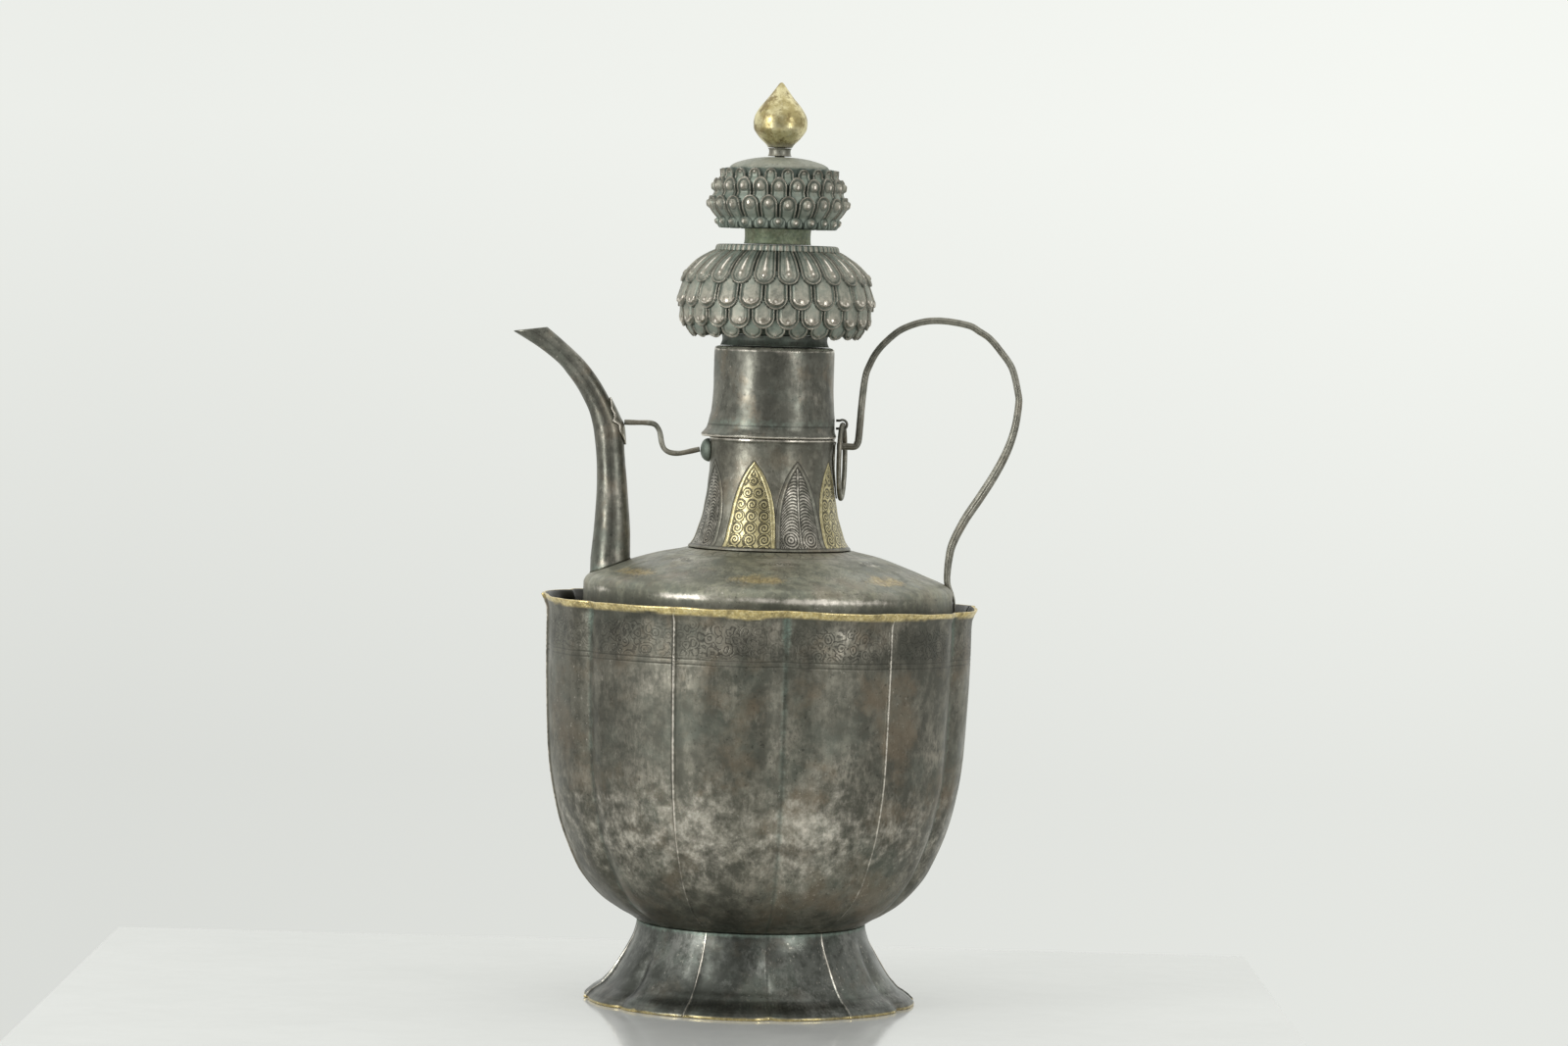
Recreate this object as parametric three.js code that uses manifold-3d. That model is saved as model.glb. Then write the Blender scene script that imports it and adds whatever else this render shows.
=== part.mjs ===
// Warming pot: a long-necked ewer with a lotus lid, standing loose in a lobed bowl.
// Millimetres, +Z up, the table is z = 0, the spout points to -X and the handle to +X.
import * as THREE from 'three';
import { mergeVertices } from 'three/addons/utils/BufferGeometryUtils.js';
import Module from 'manifold-3d';

const wasm = await Module();
wasm.setup();

// Places of the two upright axes
const bowlAxisX = -1.3;
const potAxisX = 2.2;

// Clearances
const jointGap = 0.3;
const restGap = 0.2;
const plateGap = 0.15;
const cutOverrun = 4;

// Mesh fineness
const roundSegments = 40;
const coarseSegments = 20;
const smallSegments = 20;
const wireSegments = 8;
const spoutSegments = 16;
const linkSegments = 24;
const saddleAcrossSegments = 8;
const saddleAlongSegments = 16;
const plateAcrossSegments = 6;
const plateAlongSegments = 14;
const ridgeShares = [0, 0.06, 0.14, 0.25, 0.36, 0.45];

// Bowl
const lobePairs = 6;
const grooveAngle = 7.5;
const bowlRimRadius = 92;
const bowlHeight = 134.2;
const bowlWall = 1.4;
const bowlLobeDepth = 2.6;
const bowlRidgeHeight = 0.9;
const rimTipRise = 1.6;
const rimLean = 1.5;
const rimLeanAngle = -57;
// How wide the grooves, ridges, flanks and rim points are, as shares of a pair of lobes
const grooveSpreadShare = 0.075;
const ridgeSpreadShare = 0.03;
const flankSpreadShare = 0.11;
const flankDepthShare = 0.35;
const tipSpreadShare = 0.12;
// Each row is a share of the rim radius, a share of the wall height, a share of the lobe depth and
// 1 where the inside follows the row.
const bowlWallShares = [
  [0.522, 0, 0, 0],
  [0.565, 0.019, 0.1, 1],
  [0.691, 0.073, 0.5, 0],
  [0.767, 0.129, 0.75, 1],
  [0.818, 0.185, 0.9, 1],
  [0.886, 0.297, 1, 0],
  [0.926, 0.407, 1, 1],
  [0.949, 0.518, 1, 0],
  [0.963, 0.7, 1, 1],
  [0.973, 0.948, 1.1, 1],
  [0.982, 0.978, 1.3, 1],
  [1, 1, 1.5, 1],
];

// Bowl foot
const footHeight = 33;
const footFlare = 21.48;
const footWall = 1.3;
const footFlangeWidth = 5;
const footLobeDepth = 1.9;
const footRidgeHeight = 0.9;
// Each row is a share of the flare, a share of the height and a share of the lobe depth.
const footOuterShares = [
  [0.9903, 0, 1.2],
  [1, 0.036, 1.2],
  [0.8608, 0.112, 1.1],
  [0.5825, 0.261, 1],
  [0.4887, 0.333, 1],
  [0.2071, 0.636, 0.7],
  [0.0842, 0.788, 0.4],
  [0.013, 0.93, 0.1],
  [0, 1, 0],
];
const footInnerShares = [
  [0.9062, 0, 1.1],
  [0.5793, 0.19, 1],
  [0.3981, 0.34, 1],
  [0.1262, 0.62, 0.6],
  [-0.0485, 0.92, 0],
];

// Pot body: wall, bottom and foot ring
const waterGap = 15.5;
const potBodyHeight = 114.5;
const potWall = 1.2;
// Each row is a share of the pot radius and a share of the body height.
const potBodyShares = [
  [0.47, 0],
  [0.6, 0.0132],
  [0.72, 0.0551],
  [0.83, 0.1289],
  [0.905, 0.2203],
  [0.955, 0.3029],
  [0.988, 0.391],
  [1, 0.4846],
  [1, 1],
];
const potFootShare = 0.497;
const potFootHeight = 10;
const potFootWidth = 3;
const potFootSplay = 1.6;

// Pot shoulder
const shoulderOverhang = 0.9;
const shoulderHeight = 30;
const shoulderLap = 2.8;
const shoulderSheet = 1.2;
// Each row is a share of the way from the top's edge to the outer edge and a share of the height.
const shoulderShares = [
  [0, 0.995],
  [0.0742, 0.9933],
  [0.1437, 0.9683],
  [0.3502, 0.9],
  [0.6218, 0.7633],
  [0.7805, 0.67],
  [0.9044, 0.5967],
  [0.9674, 0.54],
  [0.9957, 0.47],
  [1, 0.41],
  [1, 0],
];

// Neck and the collar in its mouth
const neckHeight = 46;
const neckTopRadius = 25.9;
const neckWall = 1.2;
const neckMouthWall = 1.9;
// Each row is a radius as a share of the top radius and a share of the neck height.
const neckShares = [
  [1.32, 0],
  [1.305, 0.018],
  [1.27, 0.035],
  [1.216, 0.083],
  [1.153, 0.189],
  [1.097, 0.295],
  [1.066, 0.404],
  [1.035, 0.511],
  [1.019, 0.617],
  [1, 0.735],
  [1, 0.94],
  [1.012, 0.975],
  [1.012, 1],
];
const collarGap = 0.3;
const collarWall = 1;
const collarRise = 13.3;
const collarSeat = 7.2;

// Spout
const spoutReach = 109.4;
const spoutFootReach = 66.6;
const spoutFootRise = 25.2;
const spoutHeight = 94.8;
const spoutHalfDepth = 8.3;
const spoutWall = 1;
const spoutMouthWall = 0.8;
const spoutHoleRadius = 5.5;
// Each row is the centre's share of the way out and up, the half depth's share outwards and upwards
// and the half width as a share of the half depth.
const spoutShares = [
  [-0.0008, 0.0005, 1.0024, -0.1518, 1],
  [-0.0089, 0.1113, 0.9253, -0.0911, 1],
  [-0.0066, 0.2141, 0.8409, -0.0607, 1],
  [0.0016, 0.3196, 0.7632, -0.059, 1],
  [0.0203, 0.4372, 0.7144, -0.0793, 1],
  [0.0459, 0.5496, 0.7269, -0.1552, 1],
  [0.0808, 0.6007, 0.6669, -0.1383, 1],
  [0.1378, 0.6603, 0.5523, -0.2395, 1],
  [0.2065, 0.7178, 0.4989, -0.2952, 1],
  [0.2824, 0.7715, 0.4567, -0.3188, 1],
  [0.3756, 0.8249, 0.4205, -0.3373, 1],
  [0.4838, 0.8755, 0.4027, -0.312, 0.98],
  [0.6621, 0.9393, 0.5285, -0.2581, 0.8],
  [0.8322, 0.99, 0.8653, -0.1147, 0.55],
];

// Saddle plate on the spout, from and to a share of the spout's rows
const saddleThickness = 0.7;
const saddleStartShare = 0.3346;
const saddleEndShare = 0.5538;
const saddleHalfAngle = 62;
const saddleWaveShare = 0.14;
const saddleTipShare = 0.12;
const saddleWaves = 3;

// Strut from spout to neck, and the boss it ends on
const strutRadius = 1.1;
const strutStartGap = 0.75;
const strutEndGap = 0.35;
const strutRise = 10.7;
const strutDrop = 12.4;
// Shares of the span to the right and of the drop
const strutShares = [
  [0, 0],
  [0.15, 0],
  [0.32, 0],
  [0.405, 0.056],
  [0.456, 0.218],
  [0.478, 0.395],
  [0.494, 0.62],
  [0.522, 0.815],
  [0.575, 0.944],
  [0.66, 1],
  [0.77, 0.984],
  [1, 0.84],
];
const bossRadius = 4.9;
const bossHeight = 4.1;
const bossDepth = 5.6;
const bossFlatShares = [0.55, 1];
const bossDomeShares = [
  [1, 0.3],
  [0.9, 0.6],
  [0.7, 0.83],
  [0.4, 0.96],
];

// Handle
const handleReach = 105.55;
const handleRise = 53.7;
const handleBarDepth = 2.7;
const handleStartGap = 0.47;
const handleLegGap = 0.35;
const handleLegDepth = 4;
const handleLegTopShare = 0.7;
const handleLegBend = 2.75;
const handleLegDepthShare = 0.34;
const handleHalfWidth = 2;
const handleHalfDepth = 1.45;
// Out of the neck and up: share of the way out, share of the rise, half depth and half width share
const handleRiseShares = [
  [-0.0001, 0, 1, 1],
  [0.0578, 0, 1, 1],
  [0.099, 0.002, 1, 1],
  [0.1131, 0.03, 1.05, 1],
  [0.1196, 0.0838, 1.05, 1],
  [0.1324, 0.3631, 1.05, 1],
  [0.1465, 0.5495, 1, 1],
  [0.1684, 0.6426, 1, 1],
  [0.2018, 0.7356, 1, 1],
  [0.2544, 0.8268, 1, 1],
  [0.338, 0.9255, 1, 1],
  [0.4524, 0.9878, 1, 1],
  [0.5681, 1, 1, 1],
  [0.7043, 0.9702, 1, 1],
  [0.7648, 0.9255, 1, 1],
  [0.8213, 0.8734, 1, 1],
  [0.8798, 0.7821, 1, 1],
  [0.9428, 0.6426, 1, 1],
  [0.975, 0.4561, 1, 1],
];
// Back down to the leg: share of the way from the leg out, share of the way from the leg up
const handleReturnShares = [
  [0.9281, 0.6779, 1.05, 1],
  [0.891, 0.5838, 1.1, 1],
  [0.7692, 0.4944, 1.2, 1],
  [0.5775, 0.4011, 1.3, 1],
  [0.3575, 0.308, 1.35, 1],
  [0.1454, 0.2147, 1.25, 1],
  [-0.0281, 0.1215, 1.1, 1],
  [-0.1005, 0, 0.9, 1.05],
];
// The leg beside the pot's wall: share of the bend and share of the leg's height
const handleLegShares = [
  [-0.8884, 0.916, 0.8, 1.15],
  [-0.5065, 0.842, 0.62, 1.25],
  [-0.1065, 0.772, 0.45, 1.4],
  [0.0389, 0.688, 0.36, 1.6],
  [0, 0.56, 0.34, 1.7],
  [0, 0.32, 0.34, 1.7],
  [0, 0, 0.34, 1.2],
];
const neckPlateThickness = 0.6;
const neckPlateTopDepth = 0.8;
const neckPlateLength = 23.8;
const neckPlateHalfWidth = 5.2;
const neckPlateBluntShare = 0.3;
const neckPlateTipShare = 0.08;

// Lid sleeve, called the cap, and the band on it
const lidGap = 0.4;
const capHeight = 37.8;
const capRadius = 25.1;
const capLipSkew = -1.4;
// Radius as a share of the cap radius, height as a share of the cap height and the share of the
// lip's skew, from the foot up: the lip flares less on the handle's side
const capOuterShares = [
  [1.118, 0, 1],
  [1.131, 0.02, 1],
  [1.112, 0.045, 0.9],
  [1.066, 0.116, 0.4],
  [1.044, 0.222, 0.1],
  [1.024, 0.302, 0],
  [1, 0.513, 0],
  [1, 0.925, 0],
  [0.985, 0.965, 0],
  [0.955, 0.99, 0],
  [0.91, 1, 0],
];
const capInnerShares = [
  [0.885, 0.972, 0],
  [0.945, 0.955, 0],
  [0.962, 0.915, 0],
  [0.962, 0.45, 0],
  [0.984, 0.3, 0],
  [1.004, 0.222, 0.1],
  [1.026, 0.116, 0.4],
  [1.08, 0.022, 1],
];
const bandRadius = 22.3;
const bandHeight = 4.5;
const bandWaist = 0.5;
const bandWall = 2;

// Lower lotus tier
const lowerPetals = 24;
const lowerRadius = 41.6;
const lowerHeight = 37.5;
const lowerShell = 2.2;
const lowerHoleRadius = 18.5;
const lowerMouthRadius = 11.5;
const lowerRelief = 1.9;
// Radius share, height share from the bottom, share of the relief, petal row and 1 where the inside
// follows the row
const lowerShares = [
  [0.41, 1, 0, 0, 0],
  [0.588, 0.99, 0.25, 0, 0],
  [0.615, 0.955, 0.25, 0, 0],
  [0.622, 0.915, 0.2, 1, 1],
  [0.71, 0.87, 0.45, 1, 0],
  [0.815, 0.795, 0.65, 1, 1],
  [0.89, 0.725, 0.8, 1, 0],
  [0.955, 0.65, 1, 1, 1],
  [0.968, 0.585, 1, 1, 0],
  [0.942, 0.545, 0.35, 1, 0],
  [0.982, 0.475, 0.7, 2, 0],
  [1, 0.405, 0.9, 2, 0],
  [0.995, 0.335, 1, 2, 1],
  [0.947, 0.285, 0.35, 2, 0],
  [0.968, 0.225, 0.7, 3, 0],
  [0.975, 0.15, 1, 3, 0],
  [0.93, 0.095, 0.9, 3, 0],
  [0.875, 0.06, 0.5, 4, 1],
  [0.85, 0.02, 0.7, 4, 0],
  [0.8, 0, 0.3, 4, 0],
];
const petalReliefShares = [0, 0.75, 1, 0.75];

// Waist ring between the tiers
const waistRadius = 13.8;
const waistHeight = 6.3;
const waistWall = 1.8;
const waistFlare = 0.3;

// Upper lotus tier
const upperPetals = 22;
const upperRadius = 30;
const upperHeight = 24.5;
const upperShell = 2;
const upperHoleRadius = 11.5;
const upperMouthRadius = 18.2;
const upperRelief = 1.6;
const upperShares = [
  [0.8, 1, 0.3, 0, 0],
  [0.83, 0.975, 0.8, 0, 1],
  [0.85, 0.88, 0.6, 0, 0],
  [0.86, 0.8, 0.2, 0, 0],
  [0.95, 0.75, 0.9, 1, 0],
  [0.965, 0.66, 1, 1, 1],
  [0.92, 0.53, 0.3, 1, 0],
  [0.99, 0.485, 0.9, 2, 0],
  [1, 0.4, 1, 2, 1],
  [0.93, 0.24, 0.5, 2, 0],
  [0.9, 0.17, 0.8, 3, 0],
  [0.895, 0.06, 0.9, 3, 1],
  [0.86, 0, 0.3, 3, 0],
];

// Dome, stem and bud
const domeRadius = 20.8;
const domeHeight = 5;
const domeSheet = 1.2;
const domeShares = [
  [1, 0.08],
  [0.985, 0.17],
  [0.93, 0.34],
  [0.85, 0.49],
  [0.66, 0.73],
  [0.47, 0.88],
  [0.3, 0.97],
  [0.125, 1],
];
const stemRadius = 5;
const stemWaist = 0.5;
const stemHeight = 3.4;
const tangRadius = 2.2;
const tangGap = 0.35;
const tangEndReach = 0.5;
const budRadius = 11.3;
const budHeight = 27.1;
const budShares = [
  [0.46, 0],
  [0.53, 0.045],
  [0.717, 0.119],
  [0.863, 0.192],
  [0.973, 0.266],
  [1, 0.34],
  [0.995, 0.409],
  [0.956, 0.4825],
  [0.863, 0.556],
  [0.752, 0.626],
  [0.606, 0.699],
  [0.46, 0.773],
  [0.327, 0.846],
  [0.204, 0.916],
  [0.09, 0.98],
];

// Eye on the lid and the link that hangs in it
const eyeRise = 6;
const eyeStand = 3.06;
const eyeMeanRadius = 1.97;
const eyeWireRadius = 0.52;
const eyeHalfAngle = 122;
const linkSag = 0.05;
const linkShift = 0.2;
const linkHeight = 33;
const linkWidth = 13;
const linkWireRadius = 1.05;
const linkTurn = 14;

// Radii that follow from the sizes above
const footTopRadius = bowlRimRadius * bowlWallShares[0][0];
const potRadius = bowlRimRadius - waterGap;
const potFootRadius = potRadius * potFootShare;
const shoulderEdgeRadius = potRadius + shoulderOverhang;
const neckBaseRadius = neckTopRadius * neckShares[0][0];
const shoulderTopRadius = neckBaseRadius - shoulderLap;
const neckBoreRadius = neckTopRadius - neckMouthWall;
const collarRadius = neckBoreRadius - collarGap;
const tangHoleRadius = tangRadius + tangGap;

// Heights that follow, from the table up
const footTopZ = footHeight;
const bowlBottomZ = footTopZ + jointGap;
const potFootZ = bowlBottomZ + bowlWall + restGap;
const potBottomZ = potFootZ + potFootHeight + jointGap;
const potWallTopZ = potBottomZ + potBodyHeight;
const shoulderEdgeZ = potWallTopZ + jointGap;
const shoulderTopZ = shoulderEdgeZ + shoulderHeight;
const spoutFootZ = shoulderEdgeZ + spoutFootRise;
const neckBaseZ = shoulderTopZ + restGap;
const neckTopZ = neckBaseZ + neckHeight;
const collarBaseZ = neckTopZ - collarSeat;
const collarTopZ = neckTopZ + collarRise;
const bossZ = neckTopZ - bossDepth;
const strutTopZ = bossZ + strutRise;
const neckPlateTopZ = neckTopZ - neckPlateTopDepth;
const handleBarZ = neckTopZ - handleBarDepth;
const handleTopZ = handleBarZ + handleRise;
const handleEndZ = shoulderEdgeZ - handleLegDepth;
const handleLegTopZ = shoulderEdgeZ + shoulderHeight * handleLegTopShare;
const handleLegHeight = handleLegTopZ - handleEndZ;
const capFootZ = neckTopZ + lidGap;
const capTopZ = capFootZ + capHeight;
const eyeZ = capFootZ + eyeRise;
const linkTopZ = eyeZ + linkWireRadius - linkSag;
const bandBaseZ = capTopZ + jointGap;
const bandTopZ = bandBaseZ + bandHeight;
const lowerBottomZ = bandTopZ + jointGap;
const lowerTopZ = lowerBottomZ + lowerHeight;
const waistBaseZ = lowerTopZ + jointGap;
const waistTopZ = waistBaseZ + waistHeight;
const upperBottomZ = waistTopZ + jointGap;
const upperTopZ = upperBottomZ + upperHeight;
const domeBaseZ = upperTopZ + jointGap;
const domeTopZ = domeBaseZ + domeHeight;
const tangEndZ = domeBaseZ - tangEndReach;
const stemBaseZ = domeTopZ + jointGap;
const stemTopZ = stemBaseZ + stemHeight;
const budBaseZ = stemTopZ + jointGap;
const budTipZ = budBaseZ + budHeight;

const group = new THREE.Group();

function radians(degrees) {
  return degrees * Math.PI / 180;
}

function circle(cx, cy, radius, z, count) {
  const ring = [];
  for (let i = 0; i < count; i++) {
    const angle = 2 * Math.PI * i / count;
    ring.push([cx + radius * Math.cos(angle), cy + radius * Math.sin(angle), z]);
  }
  return ring;
}

// Joins two closed rings of points that may have different counts
function stitch(indices, startA, countA, startB, countB) {
  if (countA === 1 && countB === 1) {
    return;
  }
  if (countA === 1) {
    for (let j = 0; j < countB; j++) {
      indices.push(startA, startB + (j + 1) % countB, startB + j);
    }
    return;
  }
  if (countB === 1) {
    for (let i = 0; i < countA; i++) {
      indices.push(startA + i, startA + (i + 1) % countA, startB);
    }
    return;
  }
  let i = 0;
  let j = 0;
  while (i < countA || j < countB) {
    const nextA = (i + 1) / countA;
    const nextB = (j + 1) / countB;
    const a = startA + i % countA;
    const b = startB + j % countB;
    if (j >= countB || (i < countA && nextA <= nextB)) {
      indices.push(a, startA + (i + 1) % countA, b);
      i++;
    } else {
      indices.push(a, startB + (j + 1) % countB, b);
      j++;
    }
  }
}

// A solid from a run of rings. A ring of one point is a pole; a looped run closes on itself.
function loft(rings, looped) {
  const positions = [];
  const starts = [];
  for (const ring of rings) {
    starts.push(positions.length / 3);
    for (const point of ring) {
      positions.push(point[0], point[1], point[2]);
    }
  }
  const indices = [];
  const last = looped ? rings.length : rings.length - 1;
  for (let k = 0; k < last; k++) {
    const next = (k + 1) % rings.length;
    stitch(indices, starts[k], rings[k].length, starts[next], rings[next].length);
  }
  const geometry = new THREE.BufferGeometry();
  geometry.setAttribute('position', new THREE.Float32BufferAttribute(positions, 3));
  geometry.setIndex(indices);
  return faceOut(geometry);
}

function signedVolume(geometry) {
  const p = geometry.attributes.position.array;
  const index = geometry.index.array;
  let sum = 0;
  for (let t = 0; t < index.length; t += 3) {
    const a = 3 * index[t];
    const b = 3 * index[t + 1];
    const c = 3 * index[t + 2];
    sum += p[a] * (p[b + 1] * p[c + 2] - p[b + 2] * p[c + 1]);
    sum += p[a + 1] * (p[b + 2] * p[c] - p[b] * p[c + 2]);
    sum += p[a + 2] * (p[b] * p[c + 1] - p[b + 1] * p[c]);
  }
  return sum;
}

// Turns every triangle over when the solid is inside out
function faceOut(geometry) {
  if (signedVolume(geometry) < 0) {
    const index = geometry.index.array;
    for (let t = 0; t < index.length; t += 3) {
      const held = index[t + 1];
      index[t + 1] = index[t + 2];
      index[t + 2] = held;
    }
  }
  return geometry;
}

function addPiece(name, geometry, color) {
  geometry.computeVertexNormals();
  const material = new THREE.MeshStandardMaterial({ color: color, metalness: 0.9, roughness: 0.45 });
  material.name = name;
  const mesh = new THREE.Mesh(geometry, material);
  mesh.name = name;
  group.add(mesh);
}

function toManifold(geometry) {
  const merged = mergeVertices(geometry);
  const mesh = new wasm.Mesh({
    numProp: 3,
    vertProperties: Float32Array.from(merged.attributes.position.array),
    triVerts: Uint32Array.from(merged.index.array),
  });
  return new wasm.Manifold(mesh);
}

function fromManifold(solid) {
  const mesh = solid.getMesh();
  const positions = [];
  for (let v = 0; v < mesh.vertProperties.length; v += mesh.numProp) {
    positions.push(mesh.vertProperties[v], mesh.vertProperties[v + 1], mesh.vertProperties[v + 2]);
  }
  const geometry = new THREE.BufferGeometry();
  geometry.setAttribute('position', new THREE.Float32BufferAttribute(positions, 3));
  geometry.setIndex(Array.from(mesh.triVerts));
  return geometry;
}

// A turned solid from profile points of radius and height; a zero radius is a pole
function turned(cx, profile, count, looped) {
  const rings = [];
  for (const point of profile) {
    if (point[0] === 0) {
      rings.push([[cx, 0, point[1]]]);
    } else {
      rings.push(circle(cx, 0, point[0], point[1], count));
    }
  }
  return loft(rings, looped);
}

// A turned sheet: the outside has more segments than the inside
function turnedSheet(cx, outer, inner) {
  const rings = outer.map((p) => circle(cx, 0, p[0], p[1], roundSegments));
  for (const p of inner) {
    rings.push(circle(cx, 0, p[0], p[1], coarseSegments));
  }
  return loft(rings, true);
}

function scaled(shares, radius, baseZ, height) {
  return shares.map((row) => [row[0] * radius, baseZ + row[1] * height]);
}

// Moves each profile point towards the hollow side by the wall thickness
function inset(profile, wall) {
  const moved = [];
  for (let i = 0; i < profile.length; i++) {
    const before = profile[Math.max(i - 1, 0)];
    const after = profile[Math.min(i + 1, profile.length - 1)];
    const dr = after[0] - before[0];
    const dz = after[1] - before[1];
    const length = Math.hypot(dr, dz);
    moved.push([profile[i][0] - wall * dz / length, profile[i][1] + wall * dr / length]);
  }
  return moved;
}

function heightOn(profile, radius) {
  for (let i = 0; i < profile.length - 1; i++) {
    const low = Math.min(profile[i][0], profile[i + 1][0]);
    const high = Math.max(profile[i][0], profile[i + 1][0]);
    if (radius >= low && radius <= high && high > low) {
      const share = (radius - profile[i][0]) / (profile[i + 1][0] - profile[i][0]);
      return profile[i][1] + share * (profile[i + 1][1] - profile[i][1]);
    }
  }
  return profile[0][1];
}

function radiusOn(profile, z) {
  for (let i = 0; i < profile.length - 1; i++) {
    const low = Math.min(profile[i][1], profile[i + 1][1]);
    const high = Math.max(profile[i][1], profile[i + 1][1]);
    if (z >= low && z <= high && high > low) {
      const share = (z - profile[i][1]) / (profile[i + 1][1] - profile[i][1]);
      return profile[i][0] + share * (profile[i + 1][0] - profile[i][0]);
    }
  }
  return profile[0][0];
}

// Angles round a lobed wall, measured from the front, -Y, towards +X
function lobeAngles() {
  const angles = [];
  const period = 360 / lobePairs;
  for (let pair = 0; pair < lobePairs; pair++) {
    const start = grooveAngle + pair * period;
    for (const share of ridgeShares) {
      angles.push(start + share * period);
    }
    angles.push(start + period / 2);
    for (let k = ridgeShares.length - 1; k > 0; k--) {
      angles.push(start + (1 - ridgeShares[k]) * period);
    }
  }
  return angles;
}

// How far a lobed wall stands in or out at an angle: a soft groove, then a thin ridge
function lobeOffset(angle, grooveDepth, ridgeHeight) {
  const period = 360 / lobePairs;
  const turnShare = (((angle - grooveAngle) % period) + period) % period / period;
  const fromGroove = Math.min(turnShare, 1 - turnShare);
  const fromRidge = 0.5 - fromGroove;
  const groove = Math.exp(-Math.pow(fromGroove / grooveSpreadShare, 2));
  const ridge = Math.exp(-Math.pow(fromRidge / ridgeSpreadShare, 2));
  const flank = Math.exp(-Math.pow(fromRidge / flankSpreadShare, 2));
  return -grooveDepth * (groove + flankDepthShare * flank) + ridgeHeight * ridge;
}

function ridgeShareAt(angle) {
  const period = 360 / lobePairs;
  const turnShare = (((angle - grooveAngle) % period) + period) % period / period;
  const fromRidge = 0.5 - Math.min(turnShare, 1 - turnShare);
  return Math.exp(-Math.pow(fromRidge / tipSpreadShare, 2));
}

function lobedRing(radius, z, lobeShare, depth, ridge, tipRise, lean) {
  return lobeAngles().map((angle) => {
    const reach = radius + lobeShare * lobeOffset(angle, depth, ridge);
    const lift = tipRise * ridgeShareAt(angle) + lean * Math.cos(radians(angle - rimLeanAngle));
    const turn = radians(angle);
    return [bowlAxisX + reach * Math.sin(turn), -reach * Math.cos(turn), z + lift];
  });
}

function bowlRing(row, radius, z) {
  const rise = row[1] === 1 ? rimTipRise : 0;
  return lobedRing(radius, z, row[2], bowlLobeDepth, bowlRidgeHeight, rise, row[1] * rimLean);
}

function bowlShell() {
  const outer = scaled(bowlWallShares, bowlRimRadius, bowlBottomZ, bowlHeight);
  const inner = inset(outer, bowlWall);
  const last = outer.length - 1;
  inner[last] = [outer[last][0] - bowlWall, outer[last][1]];
  const rings = [[[bowlAxisX, 0, bowlBottomZ]]];
  for (let i = 0; i <= last; i++) {
    rings.push(bowlRing(bowlWallShares[i], outer[i][0], outer[i][1]));
  }
  for (let i = last; i >= 0; i--) {
    if (bowlWallShares[i][3] === 1) {
      rings.push(bowlRing(bowlWallShares[i], inner[i][0], inner[i][1]));
    }
  }
  const floorZ = bowlBottomZ + bowlWall;
  rings.push(lobedRing(inner[1][0] - 2 * bowlWall, floorZ, 0, 0, 0, 0, 0));
  rings.push([[bowlAxisX, 0, floorZ]]);
  return loft(rings, false);
}

function footRing(row) {
  const radius = footTopRadius + row[0] * footFlare;
  return lobedRing(radius, row[1] * footTopZ, row[2], footLobeDepth, footRidgeHeight, 0, 0);
}

function bowlFoot() {
  const rings = footOuterShares.map(footRing);
  const flangeRadius = footTopRadius - footFlangeWidth;
  rings.push(lobedRing(flangeRadius, footTopZ, 0, 0, 0, 0, 0));
  rings.push(lobedRing(flangeRadius, footTopZ - footWall, 0, 0, 0, 0, 0));
  for (let i = footInnerShares.length - 1; i >= 0; i--) {
    rings.push(footRing(footInnerShares[i]));
  }
  return loft(rings, true);
}

function potBody() {
  const outer = scaled(potBodyShares, potRadius, potBottomZ, potWallTopZ - potBottomZ);
  const inner = inset(outer, potWall);
  inner[inner.length - 1][1] = potWallTopZ;
  const floorZ = potBottomZ + potWall;
  const rings = [[[potAxisX, 0, potBottomZ]]];
  for (const p of outer) {
    rings.push(circle(potAxisX, 0, p[0], p[1], roundSegments));
  }
  for (const p of inner.slice(1).reverse()) {
    rings.push(circle(potAxisX, 0, p[0], p[1], coarseSegments));
  }
  rings.push(circle(potAxisX, 0, outer[0][0], floorZ, coarseSegments));
  rings.push([[potAxisX, 0, floorZ]]);
  return loft(rings, false);
}

function potFootRing() {
  const lowZ = potFootZ;
  const highZ = potFootZ + potFootHeight;
  const middleZ = (lowZ + highZ) / 2;
  const profile = [
    [potFootRadius + potFootSplay, lowZ],
    [potFootRadius, middleZ],
    [potFootRadius - potFootSplay, highZ],
    [potFootRadius - potFootSplay - potFootWidth, highZ],
    [potFootRadius - potFootWidth, middleZ],
    [potFootRadius + potFootSplay - potFootWidth, lowZ],
  ];
  return turned(potAxisX, profile, roundSegments, true);
}

function shoulderProfile() {
  const width = shoulderEdgeRadius - shoulderTopRadius;
  return shoulderShares.map((row) => [
    shoulderTopRadius + row[0] * width,
    shoulderEdgeZ + row[1] * shoulderHeight,
  ]);
}

function potShoulder() {
  const outer = shoulderProfile();
  const inner = inset(outer, -shoulderSheet);
  inner[inner.length - 1][1] = shoulderEdgeZ;
  inner[0][0] = shoulderTopRadius;
  outer[0][0] = shoulderTopRadius;
  const shell = turnedSheet(potAxisX, outer, inner.reverse());
  const height = shoulderHeight + 2 * cutOverrun;
  const hole = new THREE.CylinderGeometry(spoutHoleRadius, spoutHoleRadius, height, wireSegments * 2);
  hole.deleteAttribute('uv');
  hole.deleteAttribute('normal');
  hole.rotateX(Math.PI / 2);
  hole.translate(potAxisX - spoutFootReach, 0, (shoulderTopZ + shoulderEdgeZ) / 2);
  return fromManifold(toManifold(shell).subtract(toManifold(hole)));
}

function neckProfile() {
  return scaled(neckShares, neckTopRadius, neckBaseZ, neckHeight);
}

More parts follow.
